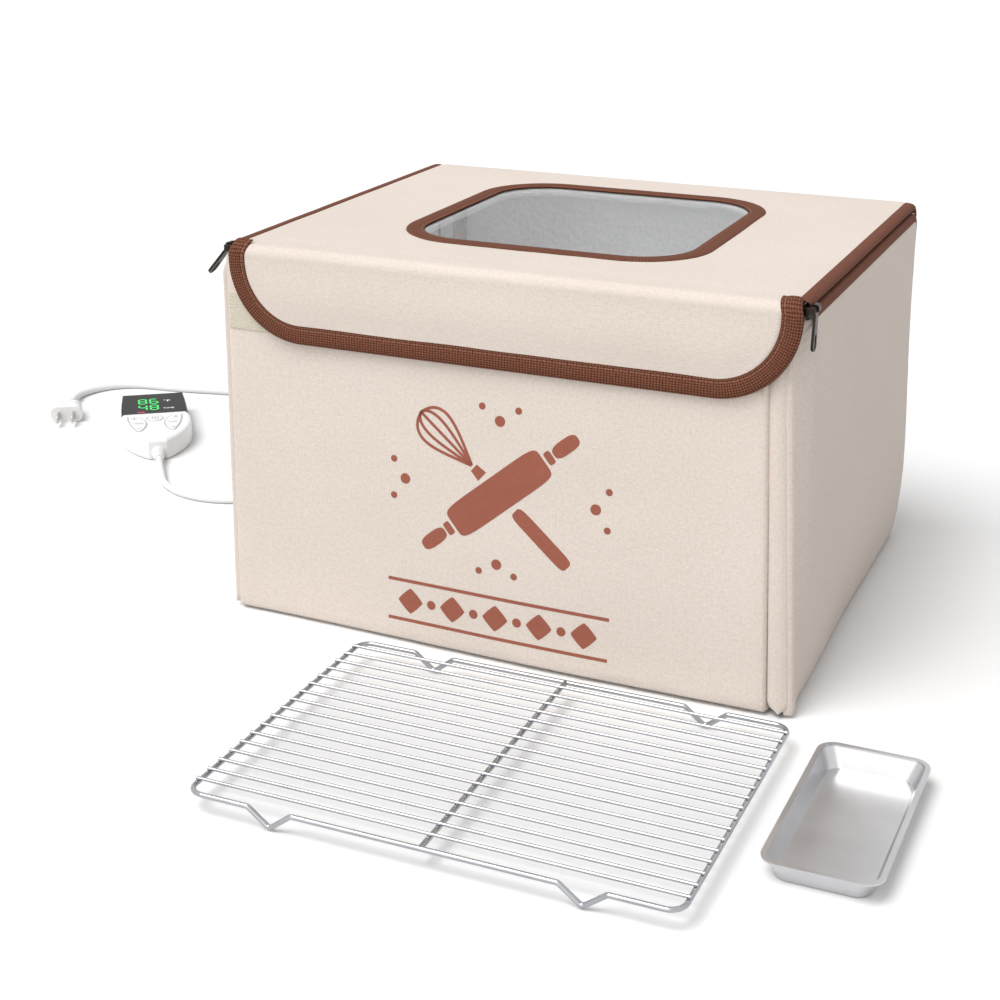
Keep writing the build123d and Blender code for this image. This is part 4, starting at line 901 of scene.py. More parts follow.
# one cloth over the lid's front edge and down to the binding; its points close up towards the foot
fold = np.linspace(0, pi / 2, 12)[1:]
straight = np.linspace(LID_TOP - NOSE, FLAP_FOOT + FLAP_CORNER, 6)[1:]
rounded = np.sin(np.linspace(0, pi / 2, 16)[1:])
below = np.concatenate([straight, FLAP_FOOT + FLAP_CORNER - (FLAP_CORNER - TAPE_LAP) * rounded])
on_lid = np.linspace(LID_SPLIT, NOSE_Y + NOSE, 5)
line_y = np.concatenate([on_lid, NOSE_Y + NOSE - NOSE * np.sin(fold), np.full(len(below), NOSE_Y)])
line_z = np.concatenate([np.full(5, LID_TOP), LID_TOP - NOSE + NOSE * np.cos(fold), below])
on_flap = ease((HEIGHT - 1.0 - line_z) / 6.0)
halves = flap_half_at(line_z, TAPE_LAP) * on_flap + LID_HALF * (1 - on_flap)
flap_share = np.linspace(-1, 1, 90)[:, None]
x = flap_share * halves[None]
y = np.broadcast_to(line_y, x.shape)
z = np.broadcast_to(line_z, x.shape)
down = ease((HEIGHT - 8 - z) / 20)
from_side = np.clip((halves[None] - np.abs(x)) / 22, 0, 1)
from_foot = np.clip((z - FLAP_FOOT - TAPE_LAP) / 18, 0, 1)
pillow = 0.9 * ease(from_side) * ease(from_foot) * down
y = y - pillow - ripple(x, z, 60.0, 17) * 0.3 * down * np.clip(from_side * 3, 0, 1)
points = np.stack([x, y, z], 2)
# the two ends of the fold are closed by one more column each, drawn in to the lid's front edge
end = points[[0, -1]].copy()
end[..., 0] *= 0.999
end[..., 1] = np.maximum(end[..., 1], -151.0)
end[..., 2] = np.minimum(end[..., 2], 245.0)
flap_cloth = surface("flap_cloth", np.concatenate([end[:1], points, end[1:]]), CANVAS)
facing(flap_cloth, (0, -1, 0.3))
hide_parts("flap_panel")
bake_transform(flap_cloth)

# ------------------------------------------------------------------ underside of the lid
# foil, turned up round the opening to the pane
LID_FOIL_Z, LID_FOIL_HALF, OPENING_TOP = 244.5, 178.0, 249.4
x, y, share = frame_plan(
    window_outline(12, SIDE_POINTS, CORNER_POINTS), lid_outline(LID_FOIL_HALF, LID_FRONT, LID_REAR)
)
fade = np.clip(np.minimum(share, 1 - share) * 5, 0, 1)[None]
z = LID_FOIL_Z + ripple(x, y, 40.0, 71) * 0.35 * fade
x, y = np.hstack([x[:, :1], x]), np.hstack([y[:, :1], y])
z = np.hstack([np.full_like(z[:, :1], OPENING_TOP), z])
lid_foil = surface("lid_foil", np.stack([x, y, z], 2), FOIL, close_rows=True, uvs=closed_plan_uvs(x, y))
facing(lid_foil, (0, 0, -1))
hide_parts("lid_lining")
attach(lid_foil, "lid")

# ------------------------------------------------------------------ bindings and pane


def swept_ring(name, path, inward, profile, closed, up=(0, 0, 1)):
    """Binding carried along a path: each point of its profile is (inwards from the path, up).

    UV runs along the path first and inwards across the tape second, in metres.
    """
    profile = np.array(profile)
    up = np.broadcast_to(np.array(up, float), path.shape)
    points = (
        path[:, None]
        + inward[:, None] * profile[None, :, 0, None]
        + up[:, None] * profile[None, :, 1, None]
    )
    steps = np.linalg.norm(np.diff(np.concatenate([path, path[:1]]) if closed else path, axis=0), axis=1)
    along = np.concatenate([[0], np.cumsum(steps)]) * MM
    if closed:
        points = np.concatenate([points, points[:1]])
    across = np.broadcast_to(profile[:, 0] * MM, points.shape[:2])
    uvs = np.stack([np.broadcast_to(along[:, None], points.shape[:2]), across], 2)
    return surface(name, points, BINDING, uvs=uvs)


# round the window: over the cloth, down round the opening's edge and under the pane
WINDOW_BAND = (
    (0.0, 0.15), (0.15, 0.9), (0.6, 1.35), (1.6, 1.5), (3.5, 1.55), (6.0, 1.55), (8.6, 1.5), (9.6, 1.2),
    (10.4, 1.15), (11.2, 1.3), (11.8, 1.0), (12.0, 0.5), (11.8, 0.1), (11.0, -0.1), (8.0, -0.3),
)
ring, ring_in = (window_outline(inset, 40, 16) for inset in (0, 1))
inward = ring_in - ring
inward = inward / np.linalg.norm(inward, axis=1)[:, None]
path = np.column_stack([ring, np.full(len(ring), HEIGHT)])
inward = np.column_stack([inward, np.zeros(len(inward))])
window_edge = swept_ring("window_tape", path, inward, WINDOW_BAND, closed=True)
facing(window_edge, (0, 0, 1))
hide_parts("window_binding")
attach(window_edge, "lid")

# the pane: a thin film with a slight wave, held under the binding; it hangs by 0.4 along 1 - r^4
PANE_INSET, PANE_SAG = 8.25, 0.4
share = np.linspace(1, 0, 26)[None]
pane_plan = rounded_outline(WINDOW_W - 2 * PANE_INSET, WINDOW_D - 2 * PANE_INSET, WINDOW_R - 8.2, 24, 10)
plan = pane_plan[:, None] * share[..., None]
x, y = plan[..., 0] + WINDOW_AT[0], plan[..., 1] + WINDOW_AT[1]
wave = ripple(x, y, 80.0, 23) * 0.5 * (1 - share**6)
skins = []
for name, height, way in (("pane_top", 250.25, 1), ("pane_low", 249.95, -1)):
    z = height + wave * 0.6 - PANE_SAG * (1 - share**4)
    skin = surface(name, np.stack([x, y, z], 2), PANE, close_rows=True)
    facing(skin, (0, 0, way))
    skins.append(skin)
pane = joined("window_film", skins)
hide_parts("window_pane")
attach(pane, "lid")

# round the flap's free edge: down one side, along the foot and up the other, as a path in its plane
TAPE_Y = FLAP_Y - 2.2  # the middle of the tape's thickness
TURN_Z, TURN_R = 243.5, 6.5  # where the binding turns back over the lid's front edge
FLAP_BAND = (
    (12.5, 1.6), (11.9, 2.15), (11.0, 2.3), (10.4, 2.05), (9.6, 2.15), (7.5, 2.6), (5.0, 2.7), (2.6, 2.55),
    (1.1, 2.0), (0.25, 1.1), (0.0, 0.0), (0.25, -1.0), (1.1, -1.8), (3.0, -2.1), (8.0, -2.15), (12.5, -2.1),
)
angle = np.linspace(pi, 3 * pi / 2, 30)
arc_x, arc_z = FLAP_HALF - FLAP_CORNER, FLAP_FOOT + FLAP_CORNER
left_arc = np.stack([-arc_x + FLAP_CORNER * np.cos(angle), arc_z + FLAP_CORNER * np.sin(angle)], 1)
left_side = np.column_stack([np.full(4, -FLAP_HALF), np.linspace(TURN_Z, arc_z, 5)[:-1]])
foot = np.column_stack([np.linspace(-arc_x, arc_x, 90)[1:-1], np.full(88, FLAP_FOOT)])
line = np.concatenate([left_side, left_arc, foot, left_arc[::-1] * (-1, 1), left_side[::-1] * (-1, 1)])
heading = np.gradient(line, axis=0)
heading /= np.linalg.norm(heading, axis=1)[:, None]
path = np.column_stack([line[:, 0], np.full(len(line), TAPE_Y), line[:, 1]])
inward = np.column_stack([-heading[:, 1], np.zeros(len(line)), heading[:, 0]])
face = np.broadcast_to((0.0, -1.0, 0.0), path.shape)
# at both ends it turns back along a quarter circle
back = np.linspace(pi / 2, 0, 9)[:-1, None]
turn_path = np.hstack([
    -FLAP_HALF + 2.0 * np.sin(back), TAPE_Y + TURN_R * (1 - np.cos(back)), TURN_Z + TURN_R * np.sin(back),
])
turn_face = np.hstack([np.zeros_like(back), -np.cos(back), np.sin(back)])
turn_in = np.broadcast_to((1.0, 0.0, 0.0), turn_path.shape)
mirror = np.array([-1.0, 1.0, 1.0])
path = np.concatenate([turn_path, path, turn_path[::-1] * mirror])
face = np.concatenate([turn_face, face, turn_face[::-1]])
inward = np.concatenate([turn_in, inward, turn_in * mirror])
flap_edge = swept_ring("flap_tape", path, inward, FLAP_BAND, closed=False, up=face)
facing(flap_edge, (0, -1, 0))
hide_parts("flap_binding")
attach(flap_edge, "flap")

# ------------------------------------------------------------------ back of the flap
back_z = np.linspace(246.0, FLAP_FOOT + 1.5, 40)
x = flap_share * flap_half_at(back_z, 1.5)[None]
z = np.broadcast_to(back_z, x.shape)
back_points = np.stack([x, np.full_like(x, FLAP_Y - 0.35), z], 2)
flap_back = surface("flap_back", back_points, CANVAS, uvs=np.stack([x, z], 2) * MM)
facing(flap_back, (0, 1, 0))
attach(flap_back, "flap")
# the strip is made lying flat, and set upright on the flap's back
hook = box_sheet("hook_band", -147, 147, 204, 216, 0, 0.9, 0.4, LOOPS, spacing=5.0)
flat = np.array([v.co for v in hook.data.vertices])
upright = np.stack([flat[:, 0], FLAP_Y * MM + flat[:, 2], flat[:, 1]], 1)
hook.data.vertices.foreach_set("co", upright.reshape(-1))
hook.data.update()
facing(hook, (0, 1, 0))
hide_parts("hook_strip")
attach(hook, "flap")

# ------------------------------------------------------------------ loop strip and cloth hinge
LOOP_FOOT = 194.0
# across the strip: the height above its foot, and how far it stands proud there
LOOP_BAND = (
    (0, 0), (0.15, 0.5), (0.5, 0.75), (1.0, 0.85), (2.0, 0.95), (6.0, 1.0), (10.0, 1.0), (14.0, 1.0),
    (20.0, 0.95), (23.0, 0.85), (23.5, 0.75), (23.85, 0.5), (24.0, 0),
)
band_z, proud = np.array(LOOP_BAND).T
gx, gz = np.meshgrid(np.linspace(-171.0, 169.7, 120), band_z, indexing="ij")
x, z = gx + front_edge_shift(gx, gz + LOOP_FOOT), gz + LOOP_FOOT
y = -(HALF_D + 0.1) - front_cloth_out(gx, z) - proud[None] * 0.8 - ripple(gx, gz, 30, 61) * 0.08
loops = surface("loop_band", np.stack([x, y, z], 2), LOOPS, uvs=np.stack([gx, gz], 2) * MM)
facing(loops, (0, -1, 0))
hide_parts("loop_strip")
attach(loops, "front_upper")

# behind the lid, bowed out by half a sine
gx, gs = np.meshgrid(np.linspace(-BACK_HALF, BACK_HALF, 90), np.linspace(0, 1, 14), indexing="ij")
bow = np.sin(gs * pi) * 0.5 + ripple(gx, gs * 14, 40, 81) * 0.15
hinge_cloth = surface("rear_cloth", np.stack([gx, 151.3 + bow, 236.0 + gs * 10.5], 2), CANVAS)
facing(hinge_cloth, (0, 1, 0))
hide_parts("rear_strip")
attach(hinge_cloth, "rear_hinge")

# ------------------------------------------------------------------ corner strips
# each fills the gap between the edge of the front wall's cloth and that of the side wall's cloth
STRIP_FOOT, STRIP_TOP = 3.0, 239.6
for side, sign in (("left", -1), ("right", 1)):
    gz, ga = np.meshgrid(np.linspace(STRIP_FOOT, STRIP_TOP, 80), np.linspace(-1, 1, 19), indexing="ij")
    front_x = sign * FRONT_HALF + front_edge_shift(sign * FRONT_HALF, gz) - sign * 0.3
    front_y = -(HALF_D + front_lean(front_x, gz) - 1.6)
    if sign > 0:
        side_x = front_corner(gz) - 2.2
        side_y = -(HALF_D - 3.0 + front_lean(front_x, gz))
    else:
        side_x = -(HALF_W + side_lean(sign, CLOTH_FRONT, gz)) + 2.2
        side_y = CLOTH_FRONT - 0.5 - 0.75 * front_lean(front_x, gz)
    reach = np.stack([side_x - front_x, side_y - front_y], 2)
    span = np.linalg.norm(reach, axis=2)
    tangent = reach / span[..., None]
    outward = np.stack([tangent[..., 1], -tangent[..., 0]], 2) * sign
    # it bulges as (1 - a^2)^0.6 across, and its lowest 7 mm are rounded off as a quarter circle
    narrow = (1 - quarter_drop(1 - (gz - STRIP_FOOT) / 7.0)) * 0.94 + 0.06
    swell = 3.2 * np.clip(1 - ga**2, 0, 1) ** 0.6 + ripple(gz, ga * 8, 34, 101 + sign) * 0.2
    middle = np.stack([(front_x + side_x) / 2, (front_y + side_y) / 2], 2)
    plan = middle + (ga * narrow * span * 0.5)[..., None] * tangent + (swell - 1.2)[..., None] * outward
    points = np.concatenate([plan, gz[..., None]], 2)
    strip = surface(f"{side}_corner_cloth", points, STRIP_CANVAS, uvs=np.stack([ga * 8.0, gz], 2) * MM)
    facing(strip, (sign, -1, 0))
    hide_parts(f"{side}_corner_strip")
    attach(strip, "floor")
    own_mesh(strip)

# ------------------------------------------------------------------ zip tapes
# profiles: of the lid's tape, (x, z) over the lid's edge; of a wall's tape, (x, inwards from its line)
LID_LAP = (
    (177.5, 250.1), (178.2, 250.75), (179.3, 250.95), (182.0, 250.7), (183.8, 250.1), (184.9, 249.1),
    (185.3, 247.9), (185.2, 247.0), (184.2, 246.5), (180.0, 246.2),
)
WALL_LAP = (
    (184.6, 6.5), (186.6, 5.5), (187.3, 3.6), (187.3, 1.6), (186.7, 0.3), (185.6, -0.9), (184.4, -1.3),
    (182.5, -1.3), (181.0, -0.6), (179.4, 0.8), (179.2, 3.0), (179.2, 6.0),
)
# plans of the back wall's tape, from the box's corner inwards, and of the foil that closes the corner
BACK_TAPE = ((168.0, 0.2), (167.6, 0.9), (162.2, 1.1), (156.9, 0.9), (156.5, 0.1))
GUSSET = ((169.0, 143.2), (176.5, 143.0), (178.7, 143.6), (181.2, 146.6), (184.0, 148.4))
TAPE_END, TAPE_TURN = 141.0, 9.5  # where the lid's tape turns down at the rear, and its radius
WALL_TAPE_Z, WALL_TAPE_FOOT, WALL_TAPE_CORNER = 243.5, 30.6, 9.0


def lid_tape(side, sign):
    """From under the lid's cloth, over the edge and down to the teeth; its rear end turns down."""
    turn = np.concatenate([np.zeros(110), np.linspace(0, radians(78), 10)[1:]])
    line = np.concatenate([np.linspace(-149.0, TAPE_END, 110), np.full(9, TAPE_END)])
    line = line + TAPE_TURN * np.sin(turn)
    sink = TAPE_TURN * (1 - np.cos(turn))
    lap = np.array(LID_LAP)
    y, k = np.meshgrid(line, np.arange(len(lap)), indexing="ij")
    wave = ripple(y, k * 2.0, 40, 111 + sign) * 0.12
    tape = surface(
        f"lid_{side}_zip", np.stack([sign * lap[k, 0], y, lap[k, 1] + wave - sink[:, None]], 2), ZIP_TAPE
    )
    facing(tape, (sign, 0, 1))
    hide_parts(f"lid_{side}_tape")
    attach(tape, "lid")


def wall_tape(side, sign):
    """Up from under the wall's cloth to the teeth, along the top, and down the wall's rear edge."""
    corner = WALL_TAPE_CORNER
    run_y = np.linspace(CLOTH_FRONT + 6.0, CLOTH_REAR - 1.0 - corner, 100)
    arc = np.linspace(0, pi / 2, 12)[1:]
    down_z = np.linspace(WALL_TAPE_Z - corner, WALL_TAPE_FOOT, 60)[1:]
    rear_y = run_y[-1] + corner
    line_y = np.concatenate([run_y, run_y[-1] + corner * np.sin(arc), np.full(len(down_z), rear_y)])
    line_z = np.concatenate([
        np.full(len(run_y), WALL_TAPE_Z), WALL_TAPE_Z - corner + corner * np.cos(arc), down_z,
    ])
    # inwards is the line's heading, turned by a right angle
    step_y, step_z = np.gradient(line_y), np.gradient(line_z)
    size = np.hypot(step_y, step_z)
    in_y, in_z = step_z / size, -step_y / size
    line_y = line_y + rear_lean(line_z) * (line_y > CLOTH_REAR - 1.5)
    lap = np.array(WALL_LAP)
    k, j = np.meshgrid(np.arange(len(line_y)), np.arange(len(lap)), indexing="ij")
    # its outer part lies on the cloth and leans with it, except just below the teeth
    lean = side_lean(sign, line_y[k], line_z[k]) - SIDE_PROUD
    lean = lean * (lap[j, 0] > HALF_W) * (line_z[k] < 232)
    x, y, z = lap[j, 0] + lean, line_y[k] + in_y[k] * lap[j, 1], line_z[k] + in_z[k] * lap[j, 1]
    tape = surface(f"{side}_wall_zip", np.stack([sign * x, y, z], 2), ZIP_TAPE)
    facing(tape, (sign, 0.2, 1))
    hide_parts(f"{side}_zip_tape")
    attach(tape, f"{side}_side")


def back_tape(side, sign):
    """The back wall's tape, seen inside the box in its corner, and a turned edge of foil beside it."""
    foot_to_top = np.linspace(28.5, 242.8, 60)
    tape_x, bow = np.array(BACK_TAPE).T
    z, x = np.meshgrid(foot_to_top, tape_x, indexing="ij")
    bow = bow[None] + ripple(z, x, 40, 121 + sign) * 0.15
    tape = surface(f"back_{side}_tape", np.stack([sign * x, LONG_INNER - 1.8 - bow, z], 2), ZIP_TAPE)
    z, k = np.meshgrid(foot_to_top, np.arange(len(GUSSET)), indexing="ij")
    gusset_x, gusset_y = np.array(GUSSET).T
    gusset = surface(f"back_{side}_gusset", np.stack([sign * gusset_x[k], gusset_y[k], z], 2), FOIL)
    for piece in (tape, gusset):
        facing(piece, (0, -1, 0))
    tape = joined(f"back_{side}_tape", [tape, gusset])
    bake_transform(tape)


for side, sign in (("left", -1), ("right", 1)):
    lid_tape(side, sign)
    wall_tape(side, sign)
    back_tape(side, sign)

# ------------------------------------------------------------------ cords
LEAD, MAINS = 5.5, 6.0  # diameters
CORD_SIDES, CORD_STEPS = 5, 12


def at_control(x, y):
    """A point of the hand control's own plan, in the row frame, in millimetres."""
    c, s = cos(CONTROL_TURN), sin(CONTROL_TURN)
    return CONTROL_AT[0] + x * c - y * s, CONTROL_AT[1] + x * s + y * c


def spline(name, points, diameter):
    """A round cord along a smooth NURBS line through its route's control points."""
    curve = bpy.data.curves.new(name, "CURVE")
    curve.dimensions = "3D"
    curve.bevel_depth = diameter / 2 * MM
    curve.bevel_resolution = CORD_SIDES
    curve.use_fill_caps = True
    line = curve.splines.new("NURBS")
    line.points.add(len(points) - 1)
    for point, at in zip(line.points, points):
        point.co = (at[0] * MM, at[1] * MM, at[2] * MM, 1)
    line.order_u = 3
    line.use_endpoint_u = True
    line.resolution_u = CORD_STEPS
    piece = bpy.data.objects.new(name, curve)
    bpy.context.scene.collection.objects.link(piece)
    curve.materials.append(WHITE_CORD)
    return piece


# the control's lead: out of its relief, in a loose bend over the counter, and into the box's side
lead = spline("control_cord", [
    (*at_control(0, -16), 6.5), (*at_control(0, -32), 5.4), (*at_control(1, -50), 3.4), (-365, 16, 2.75),
    (-340, 2, 2.75), (-310, 1, 2.75), (-283, 14, 2.75), (-264, 37, 2.75), (-253, 63, 2.75),
    (-243, 85, 3.4), (-227, 100, 5.6), (-208, 103, 6.5),
], LEAD)
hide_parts("control_lead")
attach(lead, "floor")

# the mains cord: out of the boot, round behind the box, a coil in two layers, and on to the plug
COIL_AT, COIL_WIDE, COIL_TIGHT = (-70.0, 236.0), 43.0, 28.0
COIL_LOW, COIL_RISE, COIL_TURNS = 3.0, 6.3, 4.5
turns = np.arange(0, COIL_TURNS + 1e-6, 1 / 16)
radius = np.interp(turns, [0, 2.0, 2.5, COIL_TURNS], [COIL_WIDE, COIL_TIGHT, COIL_TIGHT, COIL_WIDE])
lift = COIL_LOW + COIL_RISE * ease((turns - 1.9) / 0.6)
angle = -pi / 2 + 2 * pi * turns
coil = np.column_stack([COIL_AT[0] + radius * np.cos(angle), COIL_AT[1] + radius * np.sin(angle), lift])
mains = spline("mains_cord", [
    (-208, 117, 6.5), (-225, 119, 5.4), (-243, 130, 3.4), (-252, 153, 3.0), (-246, 180, 3.0),
    (-224, 198, 3.0), (-190, 201, 3.0), (-152, 196, 3.0), (-116, 193, 3.0), (-92, 193, 3.0),
    *coil.tolist(),
    (-92, 279.5, 8.8), (-115, 280, 6.0), (-140, 281.5, 3.2), (-186, 284, 3.0), (-242, 283, 3.0),
    (-300, 274, 3.0), (-356, 260, 3.0), (-410, 252, 3.0), (-455, 243, 3.0), (-497, 233, 3.0),
    (-533.6, 229.5, 3.0), (-554.5, 217.5, 3.0), (-566.5, 196.6, 3.0), (-566.5, 172.4, 4.2),
    (-553, 149, 7.0),
], MAINS)
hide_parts("mains_lead", "mains_coil", "plug_lead")
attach(mains, "floor")

# ------------------------------------------------------------------ flat shapes, for marks and print


def flat_piece(name, shapes, place, material, towards=(0, 0, 1)):
    """Flat shapes as one mesh: each is a grid of plane points, and place sets them in the row frame."""
    grids = [place(shape[..., 0], shape[..., 1]) for shape in shapes]
    pieces = [surface(f"{name}_{k}", grid, material) for k, grid in enumerate(grids)]
    piece = joined(name, pieces) if len(pieces) > 1 else pieces[0]
    facing(piece, towards)
    return piece


def ribbon(path, half_width):
    """A flat band along a plane path; half_width is one value or one for each point."""
    path = np.asarray(path, float)
    heading = np.gradient(path, axis=0)
    heading /= np.maximum(np.linalg.norm(heading, axis=1), 1e-9)[:, None]
    side = np.stack([-heading[:, 1], heading[:, 0]], 1) * np.broadcast_to(half_width, len(path))[:, None]
    return np.stack([path + side * k for k in (-1.0, -0.33, 0.33, 1.0)], 1)


def level_path(x0, x1, count, y=0.0):
    """Points evenly along a plane's first direction, at one height."""
    return np.column_stack([np.linspace(x0, x1, count), np.full(count, y)])


def arc_path(radius, start, end, count, y):
    """Points of a circle's arc about (0, y), between two angles in radians."""
    angle = np.linspace(start, end, count)
    return np.stack([radius * np.cos(angle), y + radius * np.sin(angle)], 1)


def lens_shape(centre, half_a, half_b, power=2.0, rings=9, spokes=40):
    """A filled superellipse, |x/a|^power + |y/b|^power = 1, as rings round its centre."""
    angle = np.linspace(0, 2 * pi, spokes + 1)
    c, s = (np.sign(wave) * np.abs(wave) ** (2 / power) for wave in (np.cos(angle), np.sin(angle)))
    rim = np.stack([half_a * c, half_b * s], 1)
    scale = np.linspace(1, 0, rings)
    return np.array(centre, float) + rim[:, None] * scale[None, :, None]


def turned_shape(shape, centre, turn):
    """A plane shape turned about the origin and moved to a centre."""
    c, s = cos(turn), sin(turn)
    x, y = shape[..., 0], shape[..., 1]
    return np.stack([x * c - y * s + centre[0], x * s + y * c + centre[1]], -1)


def arc_through(a, b, c, count):
    """Points of the circle's arc from a through b to c: its centre is as far from each of the three."""
    (ax, ay), (bx, by), (cx, cy) = a, b, c
    aa, bb, cc = ax**2 + ay**2, bx**2 + by**2, cx**2 + cy**2
    d = 2 * (ax * (by - cy) + bx * (cy - ay) + cx * (ay - by))
    ux = (aa * (by - cy) + bb * (cy - ay) + cc * (ay - by)) / d
    uy = (aa * (cx - bx) + bb * (ax - cx) + cc * (bx - ax)) / d
    start, mid, end = (np.arctan2(y - uy, x - ux) for x, y in (a, b, c))
    sweep = (end - start) % (2 * pi)
    if (mid - start) % (2 * pi) > sweep:
        sweep -= 2 * pi
    t = start + np.linspace(0, 1, count) * sweep
    r = np.hypot(ax - ux, ay - uy)
    return np.stack([ux + r * np.cos(t), uy + r * np.sin(t)], 1)


# ------------------------------------------------------------------ marks on the hand control
LENS_TOP, KEY_TOP, POWER_TOP, CASE_TOP = 18.04, 18.74, 18.64, 18.03  # heights of the marks on each
KEY_Y = 57.0  # the power key's centre, and the plus signs
MARK_HALF, LINE_HALF = 0.35, 0.16  # half widths of the signs' strokes and of the lines round the keys

# the bars of a seven-segment digit, between corners of its frame, and the bars that each digit lights
SEGMENTS = {
    "a": ((0, 1), (1, 1)), "b": ((1, 1), (1, 0.5)), "c": ((1, 0.5), (1, 0)), "d": ((1, 0), (0, 0)),
    "e": ((0, 0), (0, 0.5)), "f": ((0, 0.5), (0, 1)), "g": ((0, 0.5), (1, 0.5)),
}
DIGITS = {"8": "abcdefg", "6": "acdefg", "4": "bcfg"}
DIGIT_SIZE, DIGIT_PITCH, BAR_HALF = (6.2, 13.0), 9.6, 0.85


def on_control(height):
    """A function that sets points of the control's own plan at a height above the counter."""

    def place(x, y):
        return np.stack([*at_control(x, y), np.full(np.shape(x), height)], -1)

    return place


def digit(value, x, y):
    """The bars of a seven-segment digit: each a thin hexagon between two corners of its frame."""
    bars = []
    for key in DIGITS[value]:
        a, b = (np.array(corner) * DIGIT_SIZE + (x, y) for corner in SEGMENTS[key])
        along = (b - a) / np.linalg.norm(b - a)
        a, b = a + along * BAR_HALF * 0.45, b - along * BAR_HALF * 0.45
        length = np.linalg.norm(b - a)
        t = np.array([0, BAR_HALF, length - BAR_HALF, length])
        bars.append(ribbon(a + t[:, None] * along, np.array([0.05, BAR_HALF, BAR_HALF, 0.05])))
    return bars


bars = []
for row, y in (("86", 99.0), ("48", 81.5)):
    for k, value in enumerate(row):
        bars += digit(value, -12.5 + DIGIT_PITCH * k, y)
digits = flat_piece("digits", bars, on_control(LENS_TOP), GREEN_GLOW)
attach(digits, "floor")
lamp = lens_shape((-11.5, 75.8), 3.2, 0.9, power=6.0)
lamp_bar = flat_piece("lamp_mark", [lamp], on_control(LENS_TOP), RED_GLOW)
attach(lamp_bar, "floor")


def lettering(name, text, x, y, size, height, material, body):
    """Flat letters on the control, centred at a place of its own plan."""
    curve = bpy.data.curves.new(name, "FONT")
    curve.body = text
    curve.size = size
    curve.align_x = "CENTER"
    curve.align_y = "CENTER"
    curve.resolution_u = 4
    holder = bpy.data.objects.new(name + "_text", curve)
    bpy.context.scene.collection.objects.link(holder)
    bpy.context.view_layer.update()
    mesh = bpy.data.meshes.new_from_object(holder.evaluated_get(bpy.context.evaluated_depsgraph_get()))
    bpy.data.objects.remove(holder)
    bpy.data.curves.remove(curve)
    px, py = at_control(x, y)
    move = Matrix.Translation((px * MM, py * MM, height * MM))
    mesh.transform(move @ Matrix.Rotation(CONTROL_TURN, 4, "Z") @ Matrix.Scale(MM, 4))
    mesh.materials.clear()
    mesh.materials.append(material)
    piece = bpy.data.objects.new(name, mesh)
    bpy.context.scene.collection.objects.link(piece)
    weld(piece, 1e-7)
    facing(piece, (0, 0, 1))
    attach(piece, body)


lettering("sign_degrees", "\u00b0F", 11.5, 105.0, 7.5, LENS_TOP, WHITE_GLOW, "floor")
lettering("sign_time", "TIME", 12.5, 84.0, 4.6, LENS_TOP, WHITE_GLOW, "floor")
for body, text, side in (("temp_key", "TEMP", -1), ("time_key", "TIME", 1)):
    lettering(f"{body}_word", text, side * 14.3, 43.0, 3.5, KEY_TOP, GREY_INK, body)
    # a plus of one bar and two half bars above the word, and a minus below it
    plus_x, minus_x = side * 17.6, side * 14.6
    signs = flat_piece(f"{body}_signs", [
        ribbon([(plus_x - 2.0, KEY_Y), (plus_x + 2.0, KEY_Y)], MARK_HALF),
        ribbon([(plus_x, KEY_Y - 2.0), (plus_x, KEY_Y - MARK_HALF)], MARK_HALF),
        ribbon([(plus_x, KEY_Y + MARK_HALF), (plus_x, KEY_Y + 2.0)], MARK_HALF),
        ribbon([(minus_x - 1.9, 29.5), (minus_x + 1.9, 29.5)], MARK_HALF),
    ], on_control(KEY_TOP), GREY_INK)
    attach(signs, body)

power_mark = flat_piece("power_mark", [
    ribbon(arc_path(2.7, radians(125), radians(415), 40, KEY_Y), 0.33),
    ribbon([(0, 57.2), (0, 60.4)], 0.33),
], on_control(POWER_TOP), GREY_INK)
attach(power_mark, "power_key")

# a fine grey line round each key: a circle, and on each side two arcs joined at their ends
lines = [ribbon(arc_path(7.4, 0, 2 * pi, 49, KEY_Y), LINE_HALF)]
for side in (-1, 1):
    outer_top, inner_top = (side * 23.3, 64.8), (side * 15.0, 64.8)
    outer_arc = arc_through(outer_top, (side * 21.6, 44.0), (side * 15.6, 23.2), 24)
    inner_arc = arc_through((side * 12.9, 23.2), (side * 7.2, 41.0), inner_top, 24)
    lines.append(ribbon(np.concatenate([outer_arc, inner_arc, [outer_top]]), LINE_HALF))
key_lines = flat_piece("key_lines", lines, on_control(CASE_TOP), GREY_INK)
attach(key_lines, "floor")

# ------------------------------------------------------------------ print on the front wall
MOTIF_X, MOTIF_Z = 2.0, 112.0
PIN_TURN, WHISK_TURN = radians(40), radians(140)
PRINT_PROUD = 0.14
BIG_DOT, SMALL_DOT, ROW_DOT = 3.4, 2.2, 3.0
DIAMOND, ROW_PITCH, ROW_Z = 8.6, 30.0, 30.0


def on_front(x, z):
    """Plane points set a hair in front of the front wall's cloth."""
    return np.stack([x, -(HALF_D + front_cloth_out(x, z)) - PRINT_PROUD, z], -1)


# rolling pin: a barrel, two necks and two grips
pin = [lens_shape((0, 0), 39.0, 11.0, power=7.0, rings=12, spokes=96)]
pin += [lens_shape((side * 43.2, 0), 2.4, 4.4, power=5.0) for side in (-1, 1)]
pin += [lens_shape((side * 56.5, 0), 9.8, 4.6, power=3.0) for side in (-1, 1)]
